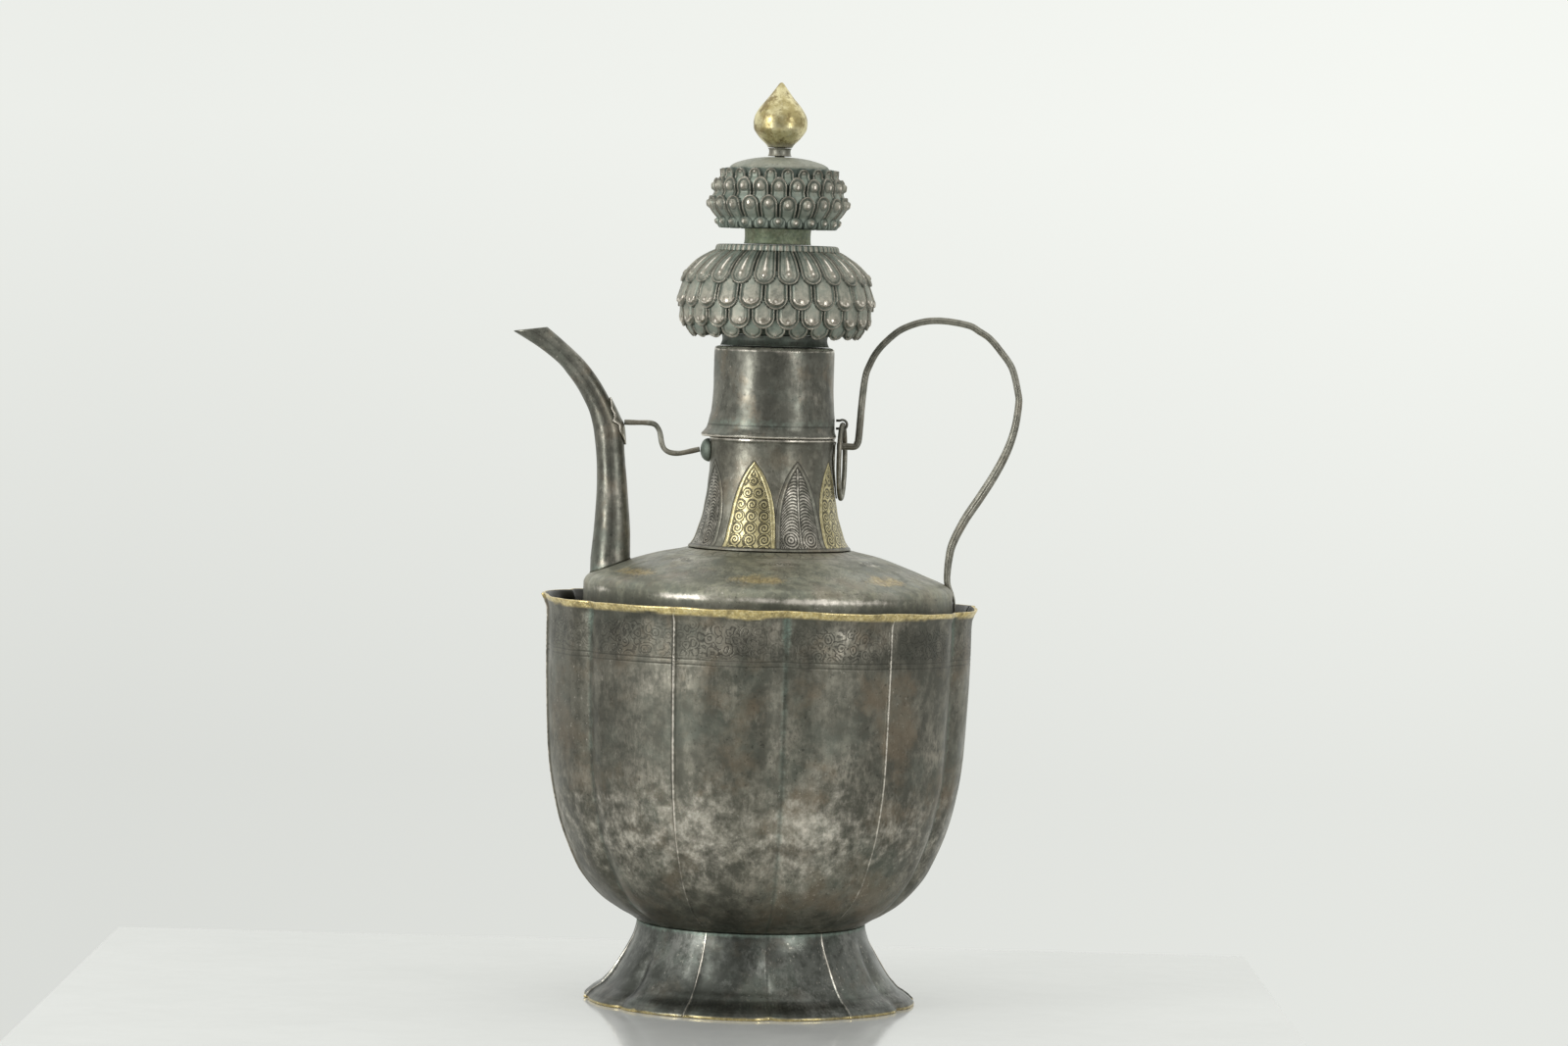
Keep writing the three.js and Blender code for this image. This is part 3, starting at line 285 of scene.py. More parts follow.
class Tree:
    """Short calls that fill one node tree."""

    def __init__(self, tree, output, coordinates):
        self.tree = tree
        self.tree.nodes.clear()
        self.out = self.node(output)
        self.place = self.node("TexCoord").outputs[coordinates]

    def node(self, kind, **settings):
        made = self.tree.nodes.new("ShaderNode" + kind)
        for key, value in settings.items():
            setattr(made, key, value)
        return made

    def put(self, socket, value):
        if isinstance(value, bpy.types.NodeSocket):
            self.tree.links.new(value, socket)
        elif isinstance(value, tuple) and len(value) == 3 and socket.type == "RGBA":
            socket.default_value = (*value, 1)
        else:
            socket.default_value = value

    def fill(self, made, **values):
        """Sets a node's sockets by name, with an underscore for a space."""
        for key, value in values.items():
            self.put(made.inputs[key.replace("_", " ")], value)
        return made

    def stretched(self, height):
        """The place, with its heights scaled."""
        return self.fill(self.node("Mapping"), Vector=self.place, Scale=(1, 1, height)).outputs[0]

    def noise(self, size, detail, rough, vector=None, warp=0):
        """Cloudy noise whose patches are about a size across."""
        cloud = self.fill(self.node("TexNoise"), Vector=vector or self.place, Scale=1 / size)
        return self.fill(cloud, Detail=detail, Roughness=rough, Distortion=warp).outputs["Fac"]

    def shaken(self, size, amount):
        """The place, moved about by noise."""
        cloud = self.fill(self.node("TexNoise"), Vector=self.place, Scale=1 / size)
        shift = self.node("VectorMath", operation="MULTIPLY_ADD")
        for socket, value in zip(shift.inputs, (cloud.outputs["Color"], (amount,) * 3, self.place)):
            self.put(socket, value)
        return shift.outputs[0]

    def cells(self, size, vector):
        """The distance from scattered centres about a size apart."""
        return self.fill(self.node("TexVoronoi"), Vector=vector, Scale=1 / size).outputs["Distance"]

    def mark(self, name):
        return self.node("Attribute", attribute_name=name).outputs["Fac"]

    def along(self, axis):
        return self.fill(self.node("SeparateXYZ"), Vector=self.place).outputs[axis]

    def band(self, value, low, high, out_low=0.0, out_high=1.0, step="SMOOTHSTEP"):
        """Maps low..high to out_low..out_high."""
        made = self.fill(self.node("MapRange", interpolation_type=step), Value=value)
        self.fill(made, From_Min=low, From_Max=high, To_Min=out_low, To_Max=out_high)
        return made.outputs["Result"]

    def maths(self, kind, *values):
        made = self.node("Math", operation=kind)
        for socket, value in zip(made.inputs, values):
            self.put(socket, value)
        return made.outputs[0]

    def times(self, a, b):
        return self.maths("MULTIPLY", a, b)

    def plus(self, a, b):
        return self.maths("ADD", a, b)

    def greater(self, a, b):
        return self.maths("MAXIMUM", a, b)

    def minus(self, a, b):
        return self.maths("SUBTRACT", a, b)

    def size(self, value):
        return self.maths("ABSOLUTE", value)

    def wave(self, phase):
        return self.maths("SINE", phase)

    def swing(self, value, amount):
        """Noise of 0 to 1 as a swing about nothing."""
        return self.times(self.plus(value, -0.5), amount)

    def reach(self, x, y):
        """The distance of a flat place x, y from its middle."""
        return self.maths("SQRT", self.plus(self.times(x, x), self.times(y, y)))

    def blend(self, share, a, b):
        made = self.node("Mix", data_type="RGBA")
        for index, value in ((0, share), (6, a), (7, b)):
            self.put(made.inputs[index], value)
        return made.outputs[2]

    def stained(self, colour, stain, strength, cloud, low, high):
        """Mixes a stain in where a cloud, given by size, detail and roughness, is from low to high."""
        share = self.band(self.noise(*cloud), low, high)
        return self.blend(self.times(share, strength), colour, stain)

    def bump(self, height, depth, strength=1.0, before=None):
        made = self.fill(self.node("Bump"), Strength=strength, Distance=depth, Height=height)
        if before is not None:
            self.put(made.inputs["Normal"], before)
        return made.outputs[0]


class Paint(Tree):
    """One procedural material."""

    def __init__(self, name):
        self.material = bpy.data.materials.new(name)
        self.material.use_nodes = True
        super().__init__(self.material.node_tree, "OutputMaterial", "Object")

    def finish(self, **values):
        shader = self.fill(self.node("BsdfPrincipled"), **values)
        self.put(self.out.inputs[0], shader.outputs[0])
        return self.material


# Colours, linear
# BLACK_TARNISH_AND_SHADE is also the colour of painted shade in the grooves and inside the bowl.
BLACK_TARNISH_AND_SHADE = (0.028, 0.027, 0.023)
PALE_SILVER = (0.42, 0.395, 0.33)
# WORN_AND_HIGHLIT_SILVER is also the colour of painted highlights.
WORN_AND_HIGHLIT_SILVER = (0.80, 0.75, 0.65)
BROWN_STAIN = (0.220, 0.174, 0.118)
GREEN_STAIN = (0.165, 0.200, 0.165)
VERDIGRIS = (0.24, 0.325, 0.27)
RIM_GOLD = ((0.34, 0.275, 0.13), (0.62, 0.495, 0.21), (0.84, 0.72, 0.39))
LEAF_GOLD = ((0.36, 0.31, 0.16), (0.49, 0.43, 0.22), (0.66, 0.60, 0.36))
SHOULDER_GOLD = ((0.25, 0.20, 0.11), (0.44, 0.34, 0.15), (0.62, 0.50, 0.26))
LOTUS_HOLLOW = ((0.172, 0.208, 0.172), (0.28, 0.325, 0.27))
LOTUS_RAISED = ((0.25, 0.247, 0.203), (0.43, 0.415, 0.34))
# LOTUS_WORN_AND_HIGHLIT also colours painted glints and highlights.
LOTUS_WORN_AND_HIGHLIT = ((0.26, 0.235, 0.185), (0.98, 0.92, 0.80))
LOTUS_DUST = (0.36, 0.46, 0.405)
LOTUS_SOOT = (0.12, 0.13, 0.115)
LOTUS_LINE = (0.030, 0.042, 0.034)
BUD_GOLD = ((0.46, 0.39, 0.18), (0.80, 0.73, 0.43))
BUD_BROWN = (0.24, 0.18, 0.075)
BUD_BLACK = (0.09, 0.075, 0.04)
BUD_BRIGHT = (0.86, 0.83, 0.66)

# Sizes of the surface's grain, streaks, pits, rubbing and dents, and depths of the shallow ones
GRIT = 1.1 * MM
STREAK = 4 * MM
PIT = 1.8 * MM
SPECK = 1.3 * MM
RUBBING = 3 * MM
DENT = 7 * MM
DENT_DEPTH = 0.22 * MM
GRAIN = 0.9 * MM
GRAIN_DEPTH = 0.03 * MM
ENGRAVING_DEPTH = 0.12 * MM
CAST_FINE = 2.4 * MM
CAST_GRIT = 0.7 * MM
CAST_BROAD = 18 * MM
CAST_SOOT = 5 * MM
CAST_GRAIN = 0.8 * MM
CAST_DEPTH = 0.09 * MM
BUD_BROAD = 8 * MM
BUD_STAIN = 6 * MM
BUD_SPECK = 2.2 * MM
BUD_GLINT = 2.4 * MM
BUD_SHEEN = 3 * MM
BUD_GRAIN = 2 * MM
BUD_DEPTH = 0.06 * MM

# Engraved scrolls, curls and feathers
SCROLL_SIZE = 4.2 * MM
SCROLL_PITCH = 1.2 * MM
LEAF_LOW = 191.4 * MM
LEAF_HIGH = 227.3 * MM
CURL_LOW = 3.3 * MM
CURL_RISE = 4.82 * MM
CURL_PITCH = 6.4 * MM
CURL_NARROWING = 0.45 * MM
CURL_RING = 1.25 * MM
CURL_PAIR_ROW = 4
EYE_UP = 3.6 * MM
EYE_SIDE = 4.5 * MM
EYE_RING = 1.2 * MM
EYE_REACH = 3.8 * MM
BARB_PITCH = 1.3 * MM
BARB_BOW = 0.2 / MM
RIB_SIDE = 0.5 * MM
RIB_WIDTHS = (0.3 * MM, 0.1 * MM)
BARB_START = 0.8 * MM
EYE_FADE = 0.2 * MM


def scroll_pattern(m):
    """Fine rings round scattered centres where the scroll mark lies, 0 to 1 on their lines."""
    away = m.cells(SCROLL_SIZE, m.shaken(SCROLL_SIZE * 0.8, SCROLL_SIZE * 0.55))
    curl = m.wave(m.times(away, 2 * math.pi * SCROLL_SIZE / SCROLL_PITCH))
    return m.times(m.band(curl, 0.0, 0.9), m.times(m.mark("scroll"), 0.7))


def leaf_curls(m, across, up):
    """Rows of spirals, three abreast, then a pair and then one."""
    step = m.plus(m.times(m.plus(up, -CURL_LOW), 1 / CURL_RISE), 0.5)
    row = m.maths("FLOOR", step)
    y = m.times(m.plus(m.minus(step, row), -0.5), CURL_RISE)
    pitch = m.plus(m.times(row, -CURL_NARROWING), CURL_PITCH)
    from_pair = m.size(m.plus(row, -CURL_PAIR_ROW))
    paired = m.minus(1.0, m.maths("MINIMUM", from_pair, 1.0))
    place = m.plus(m.maths("DIVIDE", across, pitch), m.times(paired, 0.5))
    x = m.times(m.minus(place, m.maths("ROUND", place)), pitch)
    reach = m.reach(x, y)
    turn = m.maths("ARCTAN2", y, x)
    spiral = m.band(m.wave(m.minus(m.times(reach, 2 * math.pi / CURL_RING), turn)), -0.25, 0.5)
    share = m.maths("DIVIDE", reach, pitch)
    ring = m.times(m.band(share, 0.39, 0.43), m.band(share, 0.5, 0.46))
    lines = m.greater(m.times(spiral, m.band(share, 0.43, 0.41)), ring)
    return m.times(lines, m.band(row, CURL_PAIR_ROW + 1.6, CURL_PAIR_ROW + 1.4))


def leaf_feather(m, across, up):
    """A middle rib with bowed barbs and a ringed eye on either side of its foot."""
    side = m.size(across)
    eye = m.reach(m.plus(side, -EYE_SIDE), m.plus(up, -EYE_UP))
    rings = m.wave(m.times(eye, 2 * math.pi / EYE_RING))
    middle = m.plus(m.times(up, -0.85 * EYE_SIDE / (LEAF_HIGH - LEAF_LOW)), EYE_SIDE)
    away = m.minus(side, middle)
    bowed = m.plus(up, m.times(m.times(away, away), BARB_BOW))
    barbs = m.wave(m.times(bowed, 2 * math.pi / BARB_PITCH))
    inside = m.band(eye, EYE_REACH + EYE_FADE, EYE_REACH)
    wave = m.plus(m.times(rings, inside), m.times(barbs, m.minus(1.0, inside)))
    lines = m.times(m.band(wave, -0.2, 0.5), m.band(side, RIB_SIDE, BARB_START))
    return m.greater(lines, m.band(m.size(m.plus(side, -RIB_SIDE)), *RIB_WIDTHS))


def leaf_pattern(m):
    """Engraving inside the neck's leaves: curls in the gilt ones and feathers in the plain ones."""
    across = m.mark("across")
    up = m.plus(m.along("Z"), -LEAF_LOW)
    gilt = m.mark("gilt")
    curls = m.times(leaf_curls(m, across, up), gilt)
    feather = m.times(leaf_feather(m, across, up), m.minus(1.0, gilt))
    return m.times(m.plus(curls, feather), m.mark("leaf"))


def old_silver(name, tones, gold, brown, green, rough, patches, metal, grain, engraving=None):
    """Tarnished silver with stains, worn spots and painted highlights, painted shade, gilding, green patina
    and engraved lines by mark.
    Its clouds are about patches across, and grain is how much shorter heights count in streaks."""
    m = Paint(name)
    dark, middle, pale = tones
    upright = m.stretched(grain)
    broad = m.noise(patches * 1.6, 5, 0.6, warp=0.4)
    fine = m.noise(patches / 6, 6, 0.65)
    grit = m.noise(GRIT, 3, 0.6)
    streak = m.noise(STREAK, 5, 0.65, upright)
    hair = m.noise(GRIT, 3, 0.6, upright)
    tone = m.plus(m.times(broad, 0.38), m.plus(m.times(fine, 0.34), m.times(streak, 0.28)))
    colour = m.blend(m.band(tone, 0.43, 0.585), dark, middle)
    lighter = m.plus(m.noise(patches * 1.1, 6, 0.7), m.swing(hair, 0.25))
    colour = m.blend(m.times(m.band(lighter, 0.52, 0.7), 0.6), colour, pale)
    colour = m.stained(colour, BROWN_STAIN, brown, (patches * 0.8, 5, 0.65), 0.48, 0.66)
    colour = m.stained(colour, GREEN_STAIN, green, (patches * 0.9, 5, 0.7), 0.48, 0.68)
    # The tarnish mark holds tarnish and painted shade; both darken the colour towards a deeper tone of the
    # metal.
    tarnished = m.times(m.mark("tarnish"), m.band(tone, 0.38, 0.62, 1.0, 0.6))
    colour = m.blend(tarnished, colour, tuple(0.6 * c for c in dark))
    colour = m.stained(colour, BLACK_TARNISH_AND_SHADE, 0.5, (PIT, 4, 0.7), 0.59, 0.69)
    speckled = m.times(m.band(broad, 0.42, 0.62), 0.5)
    colour = m.stained(colour, WORN_AND_HIGHLIT_SILVER, speckled, (SPECK, 5, 0.75, m.stretched(0.6)), 0.59, 0.7)
    # The worn mark holds real wear and painted highlights; both lighten the colour towards pale worn silver.
    wear_and_highlight_mark = m.mark("worn")
    patchy = m.plus(m.swing(fine, 1.0), m.swing(hair, 0.3))
    scuffed_and_highlit = m.band(m.plus(wear_and_highlight_mark, patchy), 0.22, 0.92)
    bright = m.band(m.plus(m.times(wear_and_highlight_mark, 0.5), m.plus(fine, m.swing(grit, 0.5))), 0.55, 1.0)
    colour = m.blend(scuffed_and_highlit, colour, m.blend(bright, PALE_SILVER, WORN_AND_HIGHLIT_SILVER))
    crust = m.band(m.plus(m.mark("patina"), m.swing(fine, 0.9)), 0.3, 0.9)
    colour = m.blend(m.times(crust, 0.8), colour, m.blend(m.band(grit, 0.35, 0.65), GREEN_STAIN, VERDIGRIS))
    gilt = m.mark("gilt")
    gilding = m.blend(m.band(grit, 0.4, 0.65), gold[1], gold[2])
    gilding = m.blend(m.band(m.noise(RUBBING, 5, 0.7), 0.3, 0.58), gold[0], gilding)
    colour = m.blend(gilt, colour, gilding)
    # The line mark darkens engraved lines and also paints shade along the bowl's grooves and over its inner
    # wall.
    cut = m.mark("line")
    if engraving:
        pattern = engraving(m)
        cut = m.greater(cut, pattern)
    colour = m.blend(m.times(cut, 0.85), colour, BLACK_TARNISH_AND_SHADE)
    roughness = m.band(m.noise(patches / 2, 5, 0.6), 0.3, 0.7, rough - 0.07, rough + 0.12)
    roughness = m.plus(roughness, m.times(m.greater(gilt, scuffed_and_highlit), -0.1))
    roughness = m.plus(roughness, m.times(crust, 0.2))
    normal = m.bump(m.noise(DENT, 3, 0.5), DENT_DEPTH, 0.5)
    normal = m.bump(m.plus(m.noise(GRAIN, 4, 0.6), hair), GRAIN_DEPTH, 0.6, normal)
    if engraving:
        normal = m.bump(m.times(pattern, -1.0), ENGRAVING_DEPTH, 1.0, normal)
    return m.finish(Base_Color=colour, Roughness=roughness, Normal=normal, Metallic=metal)


def lotus_silver(name):
    """Cast lotus work: green-grey in the hollows, worn and with painted highlights on the bosses, and
    painted shade in the creases.
    """
    m = Paint(name)
    fine = m.noise(CAST_FINE, 5, 0.65)
    grit = m.noise(CAST_GRIT, 4, 0.7)
    low = m.blend(m.band(m.noise(CAST_BROAD, 4, 0.6), 0.38, 0.62), *LOTUS_HOLLOW)
    high = m.blend(m.band(fine, 0.38, 0.62), *LOTUS_RAISED)
    colour = m.blend(m.band(m.plus(m.mark("raised"), m.swing(fine, 0.6)), 0.15, 0.8), low, high)
    colour = m.blend(m.times(m.band(grit, 0.52, 0.72), 0.35), colour, LOTUS_DUST)
    colour = m.stained(colour, LOTUS_SOOT, 0.5, (CAST_SOOT, 5, 0.7), 0.55, 0.7)
    # The worn mark brings rubbed borders and painted glints, streaks and highlights on the bosses and
    # tongues.
    wear_and_highlight_mark = m.mark("worn")
    shine = m.band(m.plus(wear_and_highlight_mark, m.swing(grit, 0.9)), 0.2, 0.6)
    bright = m.band(m.plus(wear_and_highlight_mark, m.plus(m.plus(fine, grit), -1.0)), 0.5, 1.05)
    colour = m.blend(shine, colour, m.blend(bright, *LOTUS_WORN_AND_HIGHLIT))
    # The line mark paints shade in the creases round and between the petals.
    colour = m.blend(m.times(m.mark("line"), 0.88), colour, LOTUS_LINE)
    roughness = m.plus(m.band(fine, 0.3, 0.7, 0.46, 0.62), m.times(shine, -0.2))
    normal = m.bump(m.noise(CAST_GRAIN, 4, 0.7), CAST_DEPTH, 0.8)
    return m.finish(Base_Color=colour, Roughness=roughness, Normal=normal, Metallic=0.65)


def bud_gilt(name):
    """Rubbed gilding over silver with dark specks."""
    m = Paint(name)
    broad = m.noise(BUD_BROAD, 5, 0.6)
    gold = m.blend(m.band(broad, 0.38, 0.6), *BUD_GOLD)
    gold = m.stained(gold, BUD_BROWN, 0.85, (BUD_STAIN, 6, 0.72), 0.46, 0.62)
    gold = m.stained(gold, BUD_BLACK, 0.7, (BUD_SPECK, 6, 0.8), 0.57, 0.68)
    # Scattered painted glints.
    gold = m.stained(gold, BUD_BRIGHT, 0.4, (BUD_GLINT, 5, 0.7), 0.6, 0.7)
    colour = m.blend(m.mark("patina"), gold, m.blend(m.band(broad, 0.4, 0.6), GREEN_STAIN, PALE_SILVER))
    roughness = m.band(m.noise(BUD_SHEEN, 5, 0.6), 0.3, 0.7, 0.27, 0.47)
    normal = m.bump(m.noise(BUD_GRAIN, 4, 0.6), BUD_DEPTH, 0.6)
    return m.finish(Base_Color=colour, Roughness=roughness, Normal=normal, Metallic=0.92)


SILVER_TONES = ((0.105, 0.104, 0.083), (0.215, 0.207, 0.165), (0.43, 0.40, 0.325))
FOOT_TONES = ((0.062, 0.066, 0.057), (0.118, 0.124, 0.110), (0.27, 0.275, 0.25))
POT_TONES = ((0.156, 0.158, 0.118), (0.300, 0.298, 0.218), PALE_SILVER)
NECK_TONES = ((0.142, 0.138, 0.110), (0.262, 0.255, 0.205), (0.43, 0.42, 0.35))
CAP_TONES = ((0.112, 0.112, 0.092), (0.195, 0.194, 0.160), PALE_SILVER)
BAND_TONES = ((0.070, 0.082, 0.068), (0.125, 0.143, 0.120), (0.22, 0.24, 0.20))
WIRE_TONES = ((0.19, 0.185, 0.152), (0.33, 0.322, 0.268), (0.52, 0.50, 0.43))
WAIST_TONES = ((0.17, 0.205, 0.125), (0.37, 0.42, 0.28), (0.54, 0.57, 0.40))
DOME_TONES = ((0.26, 0.275, 0.225), (0.345, 0.355, 0.29), (0.44, 0.45, 0.385))

# Each with its shares of brown and green, its roughness, cloud size, metal share and grain
BOWL_METAL = old_silver(
    "bowl_metal", SILVER_TONES, RIM_GOLD, 0.6, 0.25, 0.42, 34 * MM, 0.82, 0.45, scroll_pattern
)
FOOT_METAL = old_silver("foot_metal", FOOT_TONES, RIM_GOLD, 0.15, 0.3, 0.34, 20 * MM, 0.9, 0.4)
POT_METAL = old_silver(
    "pot_metal", POT_TONES, SHOULDER_GOLD, 0.4, 0.35, 0.42, 24 * MM, 0.42, 0.8, scroll_pattern
)
NECK_METAL = old_silver(
    "neck_metal", NECK_TONES, LEAF_GOLD, 0.45, 0.2, 0.4, 20 * MM, 0.8, 0.3, leaf_pattern
)
CAP_METAL = old_silver("cap_metal", CAP_TONES, LEAF_GOLD, 0.5, 0.3, 0.36, 20 * MM, 0.8, 0.3)
BAND_METAL = old_silver("band_metal", BAND_TONES, LEAF_GOLD, 0.1, 0.6, 0.5, 12 * MM, 0.6, 0.6)
WIRE_METAL = old_silver("wire_metal", WIRE_TONES, LEAF_GOLD, 0.35, 0.2, 0.38, 20 * MM, 0.85, 0.4)
WAIST_METAL = old_silver("waist_metal", WAIST_TONES, LEAF_GOLD, 0.6, 0.45, 0.55, 8 * MM, 0.5, 1.0)
DOME_METAL = old_silver("dome_metal", DOME_TONES, LEAF_GOLD, 0.15, 0.35, 0.58, 12 * MM, 0.4, 1.0)
LOTUS_METAL = lotus_silver("lotus_metal")
BUD_METAL = bud_gilt("bud_metal")


# Bowl and foot

LOBE_PAIRS = 6
LOBE_CROWDING = 0.8
GROOVE_ANGLE = 7.5
LOBE_DEPTH = 2.6 * MM
RIDGE_HEIGHT = 0.7 * MM
RIM_TIP_RISE = 0.3 * MM
# Draws the wavering sheet in so that it stays within the plain size
BOWL_FIT = 0.998
RIM_LEAN = 1.5 * MM
RIM_LEAN_ANGLE = -57
RIM_RAGGED = 0.22 * MM
# Places where the rim stands high or low: angle, spread and height
RIM_WAVES = [(7, 15, 0.6 * MM), (-55, 16, -0.4 * MM), (97, 14, 0.8 * MM)]
BOWL_SHARES = [
    (0.522, 0.000), (0.565, 0.019), (0.615, 0.037), (0.691, 0.073), (0.767, 0.129), (0.818, 0.185),
    (0.886, 0.297), (0.926, 0.407), (0.949, 0.518), (0.962, 0.686), (0.970, 0.835), (0.973, 0.948),
    (0.982, 0.978), (0.996, 0.997),
]
# The lip's points out from the top of the outer wall, as shares of the wall
LIP_SHARES = [(0.1429, 0.3571), (-0.3571, 0.5357), (-0.7857, 0.2143)]
BOWL_AROUND = 1320
BOWL_STEP = 1.1 * MM
FLOOR_BEND = 4 * MM
FLOOR_RADIUS = 10 * MM
FOOT_SHARES = [
    (0.691, 1), (0.695, 0.93), (0.717, 0.788), (0.755, 0.636), (0.797, 0.485), (0.842, 0.333),
    (0.871, 0.261), (0.904, 0.188), (0.957, 0.112), (0.995, 0.04),
]
FOOT_EDGE_SHARES = [(0.999, 0.018), (0.996, 0.004), (0.988, 0), (0.972, 0)]
FOOT_AROUND = 900
FOOT_STEP = 0.6 * MM
FOOT_LOBE_DEPTH = 2.2 * MM
FOOT_RIDGE_HEIGHT = 0.9 * MM
FOOT_LAP = 3 * MM
FOOT_INNER_LOW = 1.2 * MM
# Height round which the foot's ridges and flanks get painted highlights
FOOT_LIT_Z = 24 * MM


def spots_at(angle, spots):
    """How strongly spots lie round the axis: each spot is an angle, a spread in degrees and a strength."""
    total = np.zeros(np.shape(angle))
    for centre, spread, strength in spots:
        away = (angle - centre + 180) % 360 - 180
        total = total + strength * np.exp(-((away / spread) ** 2))
    return total


def lobe_turn(around):
    """Angles from the front towards +X, in degrees, closest together at the grooves and ridges,
    and each one's share of the way from a groove, 0, to a ridge, 0.5."""
    step = np.arange(around) * LOBE_PAIRS / around
    turn = step - LOBE_CROWDING * np.sin(4 * math.pi * step) / (4 * math.pi)
    angle = GROOVE_ANGLE + turn * 360 / LOBE_PAIRS
    turn = turn % 1
    return angle, np.minimum(turn, 1 - turn)


def lobe_reach(from_groove, depth, ridge):
    """How far the wall stands out from its plain radius between groove and ridge."""
    groove = 0.85 * bump_at(from_groove, 0, 0.065) + 0.15 * bump_at(from_groove, 0, 0.02)
    crest = bump_at(from_groove, 0.5, 0.0065) + 0.35 * bump_at(from_groove, 0.5, 0.03)
    return ridge * crest - depth * (groove + 0.3 * bump_at(from_groove, 0.5, 0.1))


def lobed_grid(profile, weights, around, depth, ridge, lift=0):
    """A lobed wall; each row has a weight for its lobes and a lift for the tips of its ridges."""
    angle, from_groove = lobe_turn(around)
    radius = profile[:, :1] + weights * lobe_reach(from_groove, depth, ridge)
    z = profile[:, 1:] + lift * bump_at(from_groove, 0.5, 0.09)
    return round_grid(radius, np.radians(angle), z, BOWL_X), angle, from_groove


def spiral(centre, radius, turned, start, count):
    t = np.linspace(0, 1, count)
    angle = start + 2 * math.pi * turned * t
    reach = radius * (1 - 0.93 * t)
    return np.column_stack([centre[0] + reach * np.cos(angle), centre[1] + reach * np.sin(angle)])


def drawn(points, strokes, width):
    """How strongly each point lies on engraved strokes, 1 on the stroke and 0 off it."""
    best = np.ones(len(points))
    for stroke in strokes:
        box_low = stroke.min(axis=0) - 2 * width
        box_high = stroke.max(axis=0) + 2 * width
        near = np.all((points > box_low) & (points < box_high), axis=1)
        if not near.any():
            continue
        p = points[near][:, None, :]
        a = stroke[:-1]
        d = stroke[1:] - a
        span = np.maximum((d * d).sum(axis=1), 1e-12)
        t = np.clip(((p - a) * d).sum(axis=2) / span, 0, 1)
        gap = np.linalg.norm(p - a - t[:, :, None] * d, axis=2).min(axis=1)
        best[near] = np.minimum(best[near], gap / width)
    return 1 - step_up(best, 0.35, 1.0)


# The engraved band under the rim: its double line, line width and depth, and closer rows there
BAND_LINE_Z = 145.3 * MM
BAND_LINE_GAP = 2.1 * MM
BAND_LINE_WIDTH = 0.27 * MM
BAND_LINE_DEPTH = 0.16 * MM
BAND_TOP_Z = 162 * MM
BAND_MIDDLE_Z = 152 * MM
BAND_ROWS_UNDER = 1.5 * MM
BAND_ROWS_OVER = 3 * MM
BAND_ROWS_STEP = 0.22 * MM
# How far the gilding reaches down, how uneven it is and how soft its edge is
GILT_DEPTH = 2.0 * MM
GILT_SLOW = 0.5 * MM
GILT_QUICK = 0.25 * MM
GILT_EDGE = 0.3 * MM
# Where the gilding runs down furthest: angle, spread in degrees and depth
GILT_RUNS = [
    (-20, 5, 0.8 * MM), (-8, 6, 0.7 * MM), (-2, 5, 1.5 * MM), (37, 3, 0.6 * MM), (140, 6, 1.8 * MM),
    (215, 5, 1.4 * MM),
]
# Painted highlights on the engraving, painted shade on the darkest sides, and places on the belly that are
# rubbed and painted as lit: angle, spread and strength
HIGHLIT_SCROLLS = [
    (-14, 7, 0.8), (24, 7, 0.8), (-40, 7, 0.3), (110, 12, 0.5), (170, 14, 0.6), (250, 12, 0.5),
]
SHADED_SIDES = [(-62, 22, 0.55), (-34, 12, 0.45), (150, 30, 0.35), (240, 24, 0.3)]
RUBBED_AND_LIT_SIDES = [(-14, 9, 0.55), (15, 10, 0.7), (-40, 9, 0.4), (120, 20, 0.6), (200, 20, 0.6)]
RUBBED_AND_LIT_Z = 76 * MM
RUBBED_AND_LIT_SPREAD = 28 * MM


def bowl_profile():
    """Outer wall, lip, inner wall and floor, with closer rows at the engraved double line; and how
    many of the rows are seen from outside."""
    outer = spline(sized(BOWL_SHARES, BOWL_RADIUS, BOWL_BOTTOM, BOWL_RIM - BOWL_BOTTOM), BOWL_STEP)
    levels = np.arange(BAND_LINE_Z - BAND_ROWS_UNDER, BAND_LINE_Z + BAND_ROWS_OVER, BAND_ROWS_STEP)
    order = np.argsort(outer[:, 1])
    extra = np.column_stack([np.interp(levels, outer[order, 1], outer[order, 0]), levels])
    outer = np.vstack([outer[outer[:, 1] < levels[0]], extra, outer[outer[:, 1] > levels[-1]]])
    inner = (outer - BOWL_WALL * normals_2d(outer))[::-1]
    inner = np.vstack([inner[:4], inner[4::7]])
    lip = outer[-1] + np.array(LIP_SHARES) * BOWL_WALL
    floor_z = BOWL_BOTTOM + BOWL_WALL
    floor = [(inner[-1][0] - FLOOR_BEND, floor_z), (FLOOR_RADIUS, floor_z)]
    profile = np.vstack([[(FLOOR_RADIUS, BOWL_BOTTOM)], outer, lip, inner, floor])
    return profile, 1 + len(outer) + len(lip)


def bowl_gilt(z, angle):
    """The gilding, which reaches down from the rim by an uneven depth."""
    depth = GILT_DEPTH + GILT_SLOW * ragged(angle, 2, 3, 12) + GILT_QUICK * ragged(angle, 5, 20, 140)
    edge = BOWL_RIM - depth - spots_at(angle, GILT_RUNS)
    return step_up(z, edge - GILT_EDGE, edge + GILT_EDGE)


def bowl_lines(z):
    """The double line, as deep as it is cut."""
    return np.maximum(
        bump_at(z, BAND_LINE_Z, BAND_LINE_WIDTH), bump_at(z, BAND_LINE_Z + BAND_LINE_GAP, BAND_LINE_WIDTH)
    )


